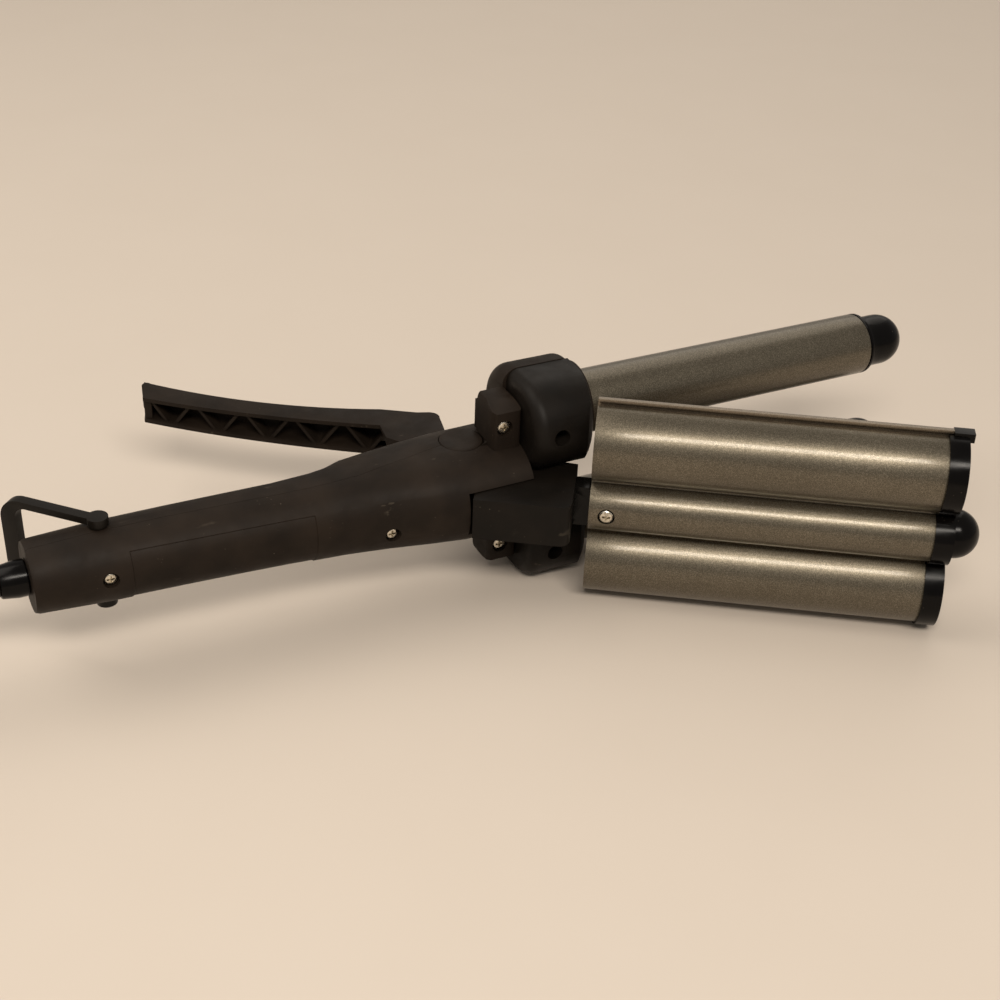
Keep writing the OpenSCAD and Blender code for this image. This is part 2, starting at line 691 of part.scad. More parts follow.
module heater_wires() {
    color("#c8c2b4") on_mid() for (s = [-1, 1]) flip_z(s)
        tube(concat(bezier_line([-72, 2, s > 0 ? board_z[1] + 1.5 : 6.4], [-50, 4, wire_z - 2.4],
            [-38, 5.5, wire_z - 1.2], 6),
            bezier_line([-29, 6, wire_z], [-12, wire_y, wire_z], [-6, wire_y, wire_z], 5),
            [[head_start + 3.5, wire_y, wire_z]],
            bezier_line([head_start + 7, wire_y - 1, wire_z + 1.5], [head_start + 11, 4, 17],
            [heater_x[0] - (s > 0 ? 12.5 : 0.3), -barrel_front, barrel_offset], 8)), wire_r, 8);
}

// ---------------------------------------------------------------- hinge and screws

module hinge_pin() {
    color("#c9c9c9") on_mid() rod_z(-hinge_cap_z + 0.2, hinge_cap_z - 0.2, pin_d / 2);
}
module hinge_cap(side) {
    color("#24221d") on_mid() flip_z(side) {
        rod_z(hinge_cap_z + fit, hinge_half_width - 0.1, hinge_cap_d / 2);
    }
}
module upper_hinge_cap() { hinge_cap(1); }
module lower_hinge_cap() { hinge_cap(-1); }
module handle_screws() {
    color("#c9c0a8") on_mid() {
        translate([rear_screw[0], rear_screw_y, rear_screw[1]]) screw(20, handle_screw_r);
        translate([front_screw[0], front_screw_y, front_screw[1]]) screw(24, handle_screw_r);
    }
}
module head_screws() {
    color("#c9b070") on_mid() for (s = [-1, 1]) {
        translate([ear_x, 0.6 - ear_front, s * ear_z]) screw(16, screw_head_r);
        translate([cover_screw_x, -4 - screw_head_h, s * cover_screw_z]) screw(20, screw_head_r);
    }
}

// ---------------------------------------------------------------- moving arm

module arm_width(wall) {
    rotate([90, 0, 0]) linear_extrude(200, center = true) polygon(concat(
        [for (p = arm_plan) [p[0], p[1] - wall]],
        [for (i = [len(arm_plan) - 1:-1:0]) [arm_plan[i][0], wall - arm_plan[i][1]]]));
}

module lever_arm() {
    tip_r = 1.7;
    color("#201e1b") arm_pose() difference() {
        union() {
            intersection() {
                slab(20) polygon(concat(outer_line, arc([-17.5, lever_top - 5.6], 5.4, 88, 8, 8),
                    [[-8.6, 20], [7, 8], [0, 0], [-9.5, 5]], rim_line));
                arm_width(0);
            }
            rod_z(-arm_half_width, arm_half_width, hub_r);
            translate(lever_end + [tip_r, -tip_r / 2])
                rod_z(1 - lever_tip_half, lever_tip_half - 1, tip_r);
        }
        difference() {
            intersection() {
                slab(20) polygon(concat([for (p = outer_line) if (p.x < channel_end - 7
                    && p.x > 2 - lever_reach) p - [0, 2.2]],
                    arc([channel_end - 4, lever_top - 6.8], 4, 90, 0, 6),
                    [[channel_end, 10], [1.4 - lever_reach, 10], [1.4 - lever_reach, lever_end.y - 3.4]]));
                arm_width(lever_wall);
                rotate([90, 0, 0]) linear_extrude(200, center = true)
                    rounded(-lever_reach, channel_end, lever_root_half - lever_wall, 3.4);
            }
            zigzag();
        }
        rod_z(-20, 20, bush_r + fit);
        rod_z(arm_half_width - spring_pocket_depth, 20, spring_r + spring_wire);
        arm_screw_holes();
    }
}

// The zigzag rib inside the lever
module zigzag() {
    half = lever_root_half;
    intersection() {
        union() for (k = [0:zig_count]) let (s = k % 2 == 0 ? 1 : -1,
            a = [zig_start + k * rib_step, s * half], b = a + [rib_step, -2 * s * half])
            translate([a.x, 0, a.y]) rotate([0, -atan2(b.y - a.y, b.x - a.x), 0])
                translate([-1, 0, -0.6]) cube([norm(b - a) + 2, 60, 1.2]);
        slab(20) polygon(concat([for (p = rim_line) p + [0, 1.3]],
            [[-lever_reach, 60], [channel_end, 60]]));
    }
}

module hinge_block() {
    color("#201e1b") arm_pose() difference() {
        slab(arm_half_width) polygon(concat([[block_start, -block_front]],
            arc([block_end - block_round, block_round - block_front], block_round, -90, 0, 10),
            [[block_end, 5], [7.5, 9], [0, 0], [block_start, -4]]));
        rod_z(-20, 20, hub_r + run);
        box([block_end - 8, -bracket_n[1] - fit, -bracket_half[0] - fit],
            [block_end + 1, fit - bracket_n[0], bracket_half[0] + fit]);
        arm_screw_holes();
    }
}
// Two screws along X hold the block to the hub
module arm_screw_holes() {
    for (s = [-1, 1]) translate([0, -4, s * arm_screw_z]) {
        rod_x(22.3, 60, 2.4);
        rod_x(7.4, 30, 1.3);
    }
}
module arm_screws() {
    color("#b9b4a6") arm_pose() for (s = [-1, 1]) translate([0, -4, s * arm_screw_z]) {
        rod_x(22.4, 24, 2.2);
        rod_x(7.6, 22.5, 1.15);
    }
}
module hinge_bush() {
    color("#b08d57") arm_pose() difference() {
        rod_z(-arm_half_width, arm_half_width, bush_r);
        rod_z(-20, 20, pin_d / 2 + run);
    }
}
// The spring that opens the jaw: a coil round the bush, with a leg into each side
module jaw_spring() {
    turns = 3;
    low = spring_pocket_z + spring_wire / 2 + 0.2;
    pitch = spring_wire + 0.15;
    steps = 14;
    color("#a9a9a9") on_mid() {
        tube(concat([for (i = [0:turns * steps]) let (a = 90 - 360 * turns + 360 * i / steps)
            [spring_r * cos(a), spring_r * sin(a), low + pitch * i / steps]],
            [[0.2, spring_r, low + pitch * turns + 0.6], [0.2, spring_r, 10.2]]),
            spring_wire / 2, 8);
    }
}

// ---------------------------------------------------------------- jaw

// Outlines across the jaw: the height above the hinge axis, and the distance from the middle
module above(n) { translate([n, -80]) square([80, 160]); }
module barrel_discs(r) {
    for (s = [-1, 1]) translate([barrel_front, s * barrel_offset]) circle(r);
}
module middle_disc(grow) { translate([middle_top - middle_ridge_r, 0]) circle(middle_ridge_r + grow); }
module hump_disc(r) { translate([barrel_front, 0]) circle(r); }
module strip(low, high, inner, outer) {
    for (s = [-1, 1]) translate([low, s > 0 ? inner : -outer]) square([high - low, outer - inner]);
}

module cover_outline() {
    difference() {
        union() {
            intersection() {
                barrel_discs(ridge_r);
                above(cover_n);
            }
            intersection() {
                middle_disc(0);
                above(groove_n - cover_t);
            }
            strip(groove_n - cover_t, groove_n, middle_half - 1, groove_offset + groove_lip + 0.6);
        }
        barrel_discs(ridge_r - cover_t);
        intersection() {
            middle_disc(-cover_t);
            translate([-80, -middle_half + 0.6]) square([160, 2 * middle_half - 1.2]);
        }
        strip(-80, groove_n - cover_t, 0, barrel_offset);
    }
}

module plate_outline() {
    difference() {
        union() {
            intersection() {
                barrel_discs(plate_r + plate_t);
                union() {
                    above(flange_n);
                    intersection() {
                        above(barrel_front);
                        translate([-80, -barrel_offset]) square([160, 2 * barrel_offset]);
                    }
                }
            }
            strip(flange_n, flange_n + plate_t, barrel_offset + plate_r - 1, jaw_half - 1);
            strip(flange_n, flange_top, jaw_half - 1.2, jaw_half);
            difference() {
                hump_disc(hump_r);
                above(barrel_front);
            }
        }
        barrel_discs(plate_r);
        difference() {
            hump_disc(hump_r - plate_t);
            above(barrel_front + eps);
        }
        intersection() {
            strip(-80, barrel_front, 0, barrel_offset);
            difference() {
                barrel_discs(plate_r + plate_t);
                hump_disc(hump_r);
            }
        }
    }
}

// The room between the sheets
module room_outline(gap) {
    difference() {
        union() {
            intersection() {
                middle_disc(-cover_t - gap);
                above(groove_n - cover_t - 1);
            }
            translate([barrel_front, -barrel_offset])
                square([groove_n - cover_t - gap - barrel_front, 2 * barrel_offset]);
            hump_disc(hump_r - plate_t - gap);
        }
        barrel_discs(plate_r + plate_t + gap);
    }
}

module jaw_cover() {
    color("#7a7362") arm_pose() difference() {
        along_x(jaw_root, jaw_end) cover_outline();
        translate([jaw_screw_x, 0, 0]) rod_y(-40, 0, screw_head_r + fit);
    }
}
module jaw_plate() {
    color("#8b867a") arm_pose() along_x(jaw_root, jaw_end) plate_outline();
}
module jaw_root_cap() {
    color("#151412") arm_pose() difference() {
        along_x(jaw_root, jaw_root + 3.5) room_outline(fit);
        box([40, -bracket_n[1] - fit, -bracket_half[2] - fit],
            [80, fit - bracket_n[0], bracket_half[2] + fit]);
        translate([jaw_screw_x, 0, 0]) rod_y(-40, 0, jaw_post_r + fit);
    }
}
module jaw_end_cap() {
    lip = 0.8;          // the cap stands proud of the cover by this
    foot = [0.5, 4.8];  // reach of the square feet on its corners
    color("#121110") arm_pose() {
        along_x(jaw_end, jaw_end + end_cap_t) difference() {
            union() {
                intersection() {
                    union() {
                        barrel_discs(ridge_r + lip);
                        middle_disc(lip);
                        translate([0, -barrel_offset]) square([groove_n + lip, 2 * barrel_offset]);
                    }
                    above(barrel_front - 1);
                    translate([0, -jaw_half]) square([80, 2 * jaw_half]);
                }
                hump_disc(hump_r);
            }
            barrel_discs(plate_r);
        }
        along_x(jaw_end - 3, jaw_end + eps) room_outline(fit);
        for (s = [-1, 1]) flip_z(s)
            box([jaw_end + 1.5, -foot[1], jaw_half - 3.4],
                [jaw_end + end_cap_t + 1.8, -foot[0], jaw_half]);
    }
}
module jaw_nose() {
    nose_n = 4.8;
    ball_x = 1.5;
    color("#121110") arm_pose() translate([jaw_end + end_cap_t + eps, -nose_n, 0]) {
        rod_x(0, ball_x, nose_r);
        intersection() {
            translate([ball_x, 0, 0]) sphere(nose_r);
            box([ball_x - eps, -30, -30], [30, 30, 30]);
        }
    }
}
module jaw_heater() {
    color("#d9d4c8") arm_pose() box([jaw_root + 12, 1.8, -5.6], [jaw_end - 12, 5.8, 5.6]);
}
module jaw_heater_pad() {
    color("#c7b98f") arm_pose() box([jaw_root + 12, -2.9, -5.6], [jaw_end - 12, 1.7, 5.6]);
}
module jaw_bracket() {
    color("#3a3835") arm_pose() difference() {
        union() {
            box([block_end - 7.8, -bracket_n[1], -bracket_half[0]],
                [block_end + 1, -bracket_n[0], bracket_half[0]]);
            box([block_end + fit, -bracket_n[1], -bracket_half[1]],
                [jaw_root - 0.3, -bracket_n[0], bracket_half[1]]);
            box([block_end + 1, -bracket_n[1], -bracket_half[2]],
                [jaw_root + 20, -bracket_n[0], bracket_half[2]]);
            translate([jaw_screw_x, 0, 0]) rod_y(-jaw_post_n, -bracket_n[0] - 1, jaw_post_r);
        }
        translate([jaw_screw_x, 0, 0]) rod_y(-40, -bracket_n[0] - 0.8, screw_shank_r + fit);
    }
}
module jaw_screw() {
    color("#e6dfc8") arm_pose()
        translate([jaw_screw_x, -jaw_post_n - screw_head_h, 0]) screw(jaw_screw_l, screw_head_r);
}

// ---------------------------------------------------------------- hanging loop

module hanging_loop() {
    leg_out = grip_half_width + 2.9;
    color("#1b1917") on_mid() translate([-loop_x, 0, 0]) rotate([0, 0, loop_angle]) {
        rotate([90, 0, 0]) linear_extrude(loop_t, center = true) difference() {
            rounded(0, loop_reach, leg_out, 8);
            rounded(-20, loop_reach - loop_bar, leg_out - leg_w, 4.5);
            translate([-30, -60]) square([30, 120]);
        }
        for (s = [-1, 1]) flip_z(s) {
            rod_z(grip_half_width + 0.4, leg_out + 0.6, eye_d / 2);
            rod_z(eye_pin_z + 0.2, grip_half_width + 1, eye_pin_r);
        }
    }
}
// A rectangle from one x to another, with round corners at the far end
module rounded(from, to, half, r) {
    translate([from, -half]) square([to - r - from, 2 * half]);
    translate([from, r - half]) square([to - from, 2 * (half - r)]);
    for (s = [-1, 1]) translate([to - r, s * (half - r)]) circle(r);
}

// ---------------------------------------------------------------- cord

module cord_swivel() {
    inner = rear_wall - handle_rear;
    color("#171513") on_mid() rotate([0, 90, 0]) rotate_extrude() polygon([
        [0, relief_end], [cord_d / 2 + 1.2, relief_end], [relief_d / 2 - 0.9, -handle_rear - 10],
        [relief_d / 2, -handle_rear - 4], [relief_d / 2, -handle_rear - 0.3],
        [swivel_neck_r, -handle_rear - 0.3], [swivel_neck_r, inner + 0.2],
        [swivel_neck_r + 2.2, inner + 0.2], [swivel_neck_r + 2.2, inner + 2.2], [0, inner + 2.2]]);
}
module swivel_ring() {
    inner = rear_wall - handle_rear + 2.3;
    color("#9a9a94") on_mid() difference() {
        rod_x(inner, inner + 1.4, rear_r - shell_t - 0.4);
        rod_x(inner - 1, inner + 2, 2.9);
    }
}

module cord_lead() { color("#1b1a18") translate([0, hinge_y, 0]) tube(lead, cord_d / 2, 10); }
module cord_coil() {
    color("#1b1a18") translate([coil_at.x, coil_at.y, 0]) difference() {
        cylinder(h = coil_h, r = coil_r[1]);
        translate([0, 0, -1]) cylinder(h = coil_h + 2, r = coil_r[0]);
    }
}
module cord_tie() {
    color("#33302c") translate([coil_at.x, coil_at.y, 0]) rotate([0, 0, 60]) difference() {
        box([coil_r[0] - 1.2, -4, 0.1], [coil_r[1] + 1.2, 4, coil_h + 1.2]);
        box([coil_r[0], -5, 1.2], [coil_r[1], 5, coil_h]);
    }
}
module plug_body() {
    color("#191816") translate(plug_at) rotate([0, 0, 180]) {
        box([-14, -11, 0], [14, 11, 16]);
        translate([14, 0, 8]) rotate([0, 90, 0]) cylinder(h = 16, r1 = 6.5, r2 = 4.6);
    }
}
module plug_blades() {
    color("#cfc9b8") translate(plug_at) rotate([0, 0, 180])
        for (s = [-1, 1]) box([-31.5, s * 6.35 - 0.75, 4.8], [-14, s * 6.35 + 0.75, 11.2]);
}

handle_front_shell();
handle_back_shell();
head_frame();
upper_head_cover();
lower_head_cover();
upper_barrel();
lower_barrel();
upper_barrel_tip();
lower_barrel_tip();
upper_heater();
lower_heater();
upper_heater_clip();
lower_heater_clip();
thermostat();
circuit_board();
board_components();
switch_housing();
indicator_lens();
hinge_pin();
upper_hinge_cap();
lower_hinge_cap();
handle_screws();
head_screws();
cord_clamp();
clamp_screws();
supply_wires();
heater_wires();
hinge_block();
hinge_bush();
lever_arm();
arm_screws();
jaw_bracket();
jaw_cover();
jaw_plate();
jaw_root_cap();
jaw_end_cap();
jaw_nose();
jaw_heater();
jaw_heater_pad();
jaw_screw();
jaw_spring();
hanging_loop();
switch_slider();
cord_swivel();
swivel_ring();
cord_lead();
cord_coil();
cord_tie();
plug_body();
plug_blades();
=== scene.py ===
import logging
import math
from dataclasses import dataclass, field
from enum import Enum
from typing import Callable, Sequence

import bpy
from bpy.types import Material, MeshPolygon, MeshVertex, NodeSocket, Object, ShaderNode
from mathutils import Matrix, Vector


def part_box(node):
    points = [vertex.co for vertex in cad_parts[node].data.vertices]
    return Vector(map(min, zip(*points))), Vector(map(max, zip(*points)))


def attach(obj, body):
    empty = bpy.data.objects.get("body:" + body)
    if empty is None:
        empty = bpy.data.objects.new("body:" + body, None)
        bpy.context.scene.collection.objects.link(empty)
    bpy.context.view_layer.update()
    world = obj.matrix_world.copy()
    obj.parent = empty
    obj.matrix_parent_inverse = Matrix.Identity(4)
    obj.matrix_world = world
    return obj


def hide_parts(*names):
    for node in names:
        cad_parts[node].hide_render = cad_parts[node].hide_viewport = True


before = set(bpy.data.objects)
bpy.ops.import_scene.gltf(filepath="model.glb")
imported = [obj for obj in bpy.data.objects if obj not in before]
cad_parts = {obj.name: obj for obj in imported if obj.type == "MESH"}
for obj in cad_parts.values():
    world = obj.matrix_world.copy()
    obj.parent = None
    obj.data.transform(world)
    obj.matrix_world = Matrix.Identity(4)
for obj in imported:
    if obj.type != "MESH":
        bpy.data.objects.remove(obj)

# Looks of an open three-barrel hair waver: two round barrels on a handle, and a ridged jaw
# with a spring lever that closes over them.
#
# Lengths are in millimetres while a piece is drawn, with x along the handle from the main
# hinge, n towards the barrels' front and w up from the middle plane. A piece is put in the
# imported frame, in metres, when it is finished.

MM = 0.001
HINGE_Y = 2.7  # the main hinge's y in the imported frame
MID_Z = 40.8  # height of the middle plane over the floor
OPEN_ANGLE = 32.9  # of the jaw, in degrees, at rest
MERGE_DISTANCE = 2e-6  # in metres
DUST_COLOUR = "958a7a"
SCUFF_COLOUR = "84796a"
CLOUD_COLOUR = "2f2a22"

Point = tuple[float, float]
Point3 = tuple[float, float, float]

log = logging.getLogger("waver")


def linear(colour: str) -> tuple[float, float, float, float]:
    """Turns a written colour into light values.

    Args:
        colour: Six hexadecimal digits, red first.

    Returns:
        Red, green, blue and alpha in linear light.
    """
    parts = [int(colour[i:i + 2], 16) / 255 for i in (0, 2, 4)]
    red, green, blue = (
        c / 12.92 if c <= 0.04045 else ((c + 0.055) / 1.055) ** 2.4 for c in parts)
    return (red, green, blue, 1.0)


def arc(centre: Point, radius: float, start: float, end: float, steps: int) -> list[Point]:
    """Points along a circle.

    Args:
        centre: The circle's centre.
        radius: Its radius.
        start: First angle in degrees, from the first axis towards the second.
        end: Last angle in degrees.
        steps: Number of chords.

    Returns:
        The points in order, both ends included.
    """
    angles = [math.radians(start + (end - start) * i / steps) for i in range(steps + 1)]
    return [(centre[0] + radius * math.cos(a), centre[1] + radius * math.sin(a))
            for a in angles]


def ease(value: float) -> float:
    """A smooth step from 0 to 1, level at both ends."""
    value = min(1.0, max(0.0, value))
    return value * value * (3 - 2 * value)


# ------------------------------------------------------------------ places


@dataclass(frozen=True)
class Place:
    """A set of drawing axes on the main hinge.

    Attributes:
        turn: How far the axes are turned about the hinge, in degrees.
    """

    turn: float

    def matrix(self) -> Matrix:
        """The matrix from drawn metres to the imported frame."""
        shift = Matrix.Translation(Vector((0, HINGE_Y, MID_Z)) * MM)
        return shift @ Matrix.Rotation(math.radians(self.turn), 4, "Z")


HANDLE_AXES = Place(0)
ARM_AXES = Place(-OPEN_ANGLE)


# ------------------------------------------------------------------ finishes


class Graph:
    """A material's nodes, added one at a time."""

    def __init__(self, name: str) -> None:
        """Starts a material with one shader and the piece's own coordinates."""
        self.material: Material = bpy.data.materials.new(name)
        self.material.use_nodes = True
        self.tree = self.material.node_tree
        self.shader = self.tree.nodes["Principled BSDF"]
        self.where = self.add("ShaderNodeTexCoord").outputs["Object"]

    def add(self, kind: str, **settings: object) -> ShaderNode:
        """Adds a node.

        Args:
            kind: The node's type.
            **settings: Properties of the node.

        Returns:
            The new node.
        """
        node = self.tree.nodes.new(kind)
        for name, value in settings.items():
            setattr(node, name, value)
        return node

    def join(self, source: NodeSocket, target: NodeSocket) -> None:
        """Links two sockets."""
        self.tree.links.new(source, target)

    def put(self, **values: object) -> None:
        """Sets constants on the shader's own sockets, with _ for a space in their names."""
        for name, value in values.items():
            self.shader.inputs[name.replace("_", " ")].default_value = value

    def dress(self, colour: NodeSocket, normal: NodeSocket,
              rough: NodeSocket | None = None) -> None:
        """Links a colour, a relief and, where it has one, a roughness to the shader."""
        self.join(colour, self.shader.inputs["Base Color"])
        self.join(normal, self.shader.inputs["Normal"])
        if rough:
            self.join(rough, self.shader.inputs["Roughness"])

    def stretch(self, scale: Point3) -> NodeSocket:
        """The piece's coordinates, stretched along each axis."""
        node = self.add("ShaderNodeMapping")
        node.inputs["Scale"].default_value = scale
        self.join(self.where, node.inputs["Vector"])
        return node.outputs["Vector"]

    def noise(self, size: float, detail: float, where: NodeSocket | None = None) -> NodeSocket:
        """Soft noise.

        Args:
            size: Size of its patches in millimetres.
            detail: Number of finer layers.
            where: Coordinates other than the piece's own.

        Returns:
            The noise, about 0 to 1.
        """
        node = self.add("ShaderNodeTexNoise")
        node.inputs["Scale"].default_value = 1 / (size * MM)
        node.inputs["Detail"].default_value = detail
        self.join(where or self.where, node.inputs["Vector"])
        return node.outputs["Fac"]

    def cells(self, size: float) -> ShaderNode:
        """Scattered cells of a size in millimetres."""
        node = self.add("ShaderNodeTexVoronoi")
        node.inputs["Scale"].default_value = 1 / (size * MM)
        self.join(self.where, node.inputs["Vector"])
        return node

    def span(self, source: NodeSocket, old: Point, new: Point) -> NodeSocket:
        """Maps a range of values to another one.

        Args:
            source: The values.
            old: Their range.
            new: The range that it becomes.

        Returns:
            The result, kept inside the new range.
        """
        node = self.add("ShaderNodeMapRange")
        for word, ends in (("From", old), ("To", new)):
            for name, value in zip(("Min", "Max"), ends):
                node.inputs[f"{word} {name}"].default_value = value
        self.join(source, node.inputs["Value"])
        return node.outputs["Result"]

    def product(self, first: NodeSocket, second: NodeSocket) -> NodeSocket:
        """The product of two values."""
        node = self.add("ShaderNodeMath", operation="MULTIPLY")
        self.join(first, node.inputs[0])
        self.join(second, node.inputs[1])
        return node.outputs[0]

    def mix(self, share: NodeSocket, first: object, second: object) -> NodeSocket:
        """Mixes two colours.

        Args:
            share: Share of the second colour.
            first: A colour or a socket.
            second: A colour or a socket.

        Returns:
            The mixed colour.
        """
        node = self.add("ShaderNodeMix", data_type="RGBA")
        self.join(share, node.inputs[0])
        for value, target in ((first, node.inputs[6]), (second, node.inputs[7])):
            if isinstance(value, NodeSocket):
                self.join(value, target)
            else:
                target.default_value = value
        return node.outputs[2]

    def relief(self, height: NodeSocket, depth: float, strength: float,
               under: NodeSocket | None = None) -> NodeSocket:
        """Raises the surface by a height.

        Args:
            height: The height, 0 to 1.
            depth: What 1 stands for, in millimetres.
            strength: Share of the effect.
            under: A relief that lies under this one.

        Returns:
            The new normal.
        """
        node = self.add("ShaderNodeBump")
        node.inputs["Strength"].default_value = strength
        node.inputs["Distance"].default_value = depth * MM
        self.join(height, node.inputs["Height"])
        if under:
            self.join(under, node.inputs["Normal"])
        return node.outputs["Normal"]


@dataclass(frozen=True)
class Look:
    """A finish of one of the record's material slots.

    Attributes:
        slot: The slot's name in the record.
        colour: The finish's main colour.
    """

    slot: str
    colour: str

    def build(self) -> Material:
        """Makes the material."""
        graph = Graph(self.slot + "_finish")
        self.draw(graph)
        return graph.material

    def draw(self, graph: Graph) -> None:
        """Adds the finish's own nodes to its new material."""
        raise NotImplementedError


@dataclass(frozen=True)
class Moulded(Look):
    """Moulded plastic or rubber with a fine grain.

    Attributes:
        roughness: 0 for a mirror, 1 for chalk.
        grain: Size of the grain in millimetres.
        depth: Depth of the grain in millimetres.
        dust: Share of pale dust on it.
        worn: The lighter colour that wear and handling leave.
        shine: Level of its specular reflection.
        scuffs: Share of the fine pale marks that handling leaves.
    """

    roughness: float
    grain: float
    depth: float
    dust: float = 0.0
    worn: str = "4f4133"
    shine: float = 0.3
    scuffs: float = 0.0

    def draw(self, graph: Graph) -> None:
        """Adds the finish's own nodes to its new material."""
        patches = graph.span(graph.noise(14, detail=4), (0.35, 0.7), (0.0, 0.16))
        tone = graph.mix(patches, linear(self.colour), linear(self.worn))
        if self.dust > 0:
            specks = graph.cells(1.9)
            near = graph.span(specks.outputs["Distance"], (0.03, 0.12), (1.0, 0.0))
            rare = graph.span(graph.noise(11, detail=3), (0.57, 0.68), (0.0, self.dust))
            tone = graph.mix(graph.product(near, rare), tone, linear(DUST_COLOUR))
        if self.scuffs > 0:
            lines = graph.noise(2.2, detail=4, where=graph.stretch((0.22, 1.0, 0.6)))
            thin = graph.span(lines, (0.66, 0.74), (0.0, self.scuffs))
            area = graph.span(graph.noise(19, detail=2), (0.52, 0.66), (0.0, 1.0))
            tone = graph.mix(graph.product(thin, area), tone, linear(SCUFF_COLOUR))
        rough = graph.span(graph.noise(6, detail=3), (0.3, 0.7),
                           (self.roughness - 0.05, self.roughness + 0.07))
        grain = graph.relief(graph.noise(self.grain, detail=3), self.depth, 0.7)
        graph.dress(tone, graph.relief(graph.noise(30, detail=1), 0.05, 0.25, grain), rough)
        graph.put(IOR=1.5, Specular_IOR_Level=self.shine)


@dataclass(frozen=True)
class Coated(Look):
    """Metal under a satin coat with fine sparkling flakes.

    Attributes:
        flake: The colour of its flakes.
        roughness: How far it spreads a reflection.
        metal: Share of metal, 0 to 1.
        size: Size of a flake in millimetres.
        contrast: How much the flakes stand out.
        lacquer: Share of the clear lacquer over it.
    """

    flake: str
    roughness: float
    metal: float = 0.85
    size: float = 0.18
    contrast: float = 0.34
    lacquer: float = 0.3

    def draw(self, graph: Graph) -> None:
        """Adds the finish's own nodes to its new material."""
        flakes = graph.cells(self.size)
        split = graph.add("ShaderNodeSeparateColor")
        graph.join(flakes.outputs["Color"], split.inputs["Color"])
        bright = graph.span(split.outputs["Red"], (0.45, 1.0), (0.0, self.contrast))
        tone = graph.mix(bright, linear(self.colour), linear(self.flake))
        cloud = graph.span(graph.noise(26, detail=3), (0.35, 0.7), (0.0, 0.14))
        tone = graph.mix(cloud, tone, linear(CLOUD_COLOUR))
        rough = graph.span(split.outputs["Green"], (0.0, 1.0),
                           (self.roughness - 0.07, self.roughness + 0.07))
        tilt = graph.relief(split.outputs["Blue"], 0.01, 0.3)
        graph.dress(tone, graph.relief(graph.noise(9, detail=2), 0.012, 0.2, tilt), rough)
        graph.put(Metallic=self.metal, Coat_Weight=self.lacquer, Coat_Roughness=0.14,
                  Coat_IOR=1.5)


@dataclass(frozen=True)
class Bare(Look):
    """Bare or plated metal with fine marks.

    Attributes:
        roughness: How far it spreads a reflection.
        tarnish: The colour of its duller patches.
    """

    roughness: float
    tarnish: str

    def draw(self, graph: Graph) -> None:
        """Adds the finish's own nodes to its new material."""
        dull = graph.span(graph.noise(1.1, detail=3), (0.5, 0.72), (0.0, 0.55))
        tone = graph.mix(dull, linear(self.colour), linear(self.tarnish))
        rough = graph.span(graph.noise(0.7, detail=2), (0.3, 0.7),
                           (self.roughness - 0.05, self.roughness + 0.12))
        marks = graph.noise(0.25, detail=1, where=graph.stretch((1.0, 6.0, 6.0)))
        graph.dress(tone, graph.relief(marks, 0.006, 0.5), rough)
        graph.put(Metallic=1.0)


@dataclass(frozen=True)
class Clear(Look):
    """Tinted clear plastic.

    Attributes:
        deep: Its colour where it is deeper.
    """

    deep: str = "4a0a08"

    def draw(self, graph: Graph) -> None:
        """Adds the finish's own nodes to its new material."""
        depth = graph.span(graph.noise(1.2, detail=2), (0.3, 0.7), (0.0, 0.5))
        tone = graph.mix(depth, linear(self.colour), linear(self.deep))
        graph.dress(tone, graph.relief(graph.noise(0.6, detail=1), 0.01, 0.4))
        graph.put(Roughness=0.12, Transmission_Weight=0.35, IOR=1.49)


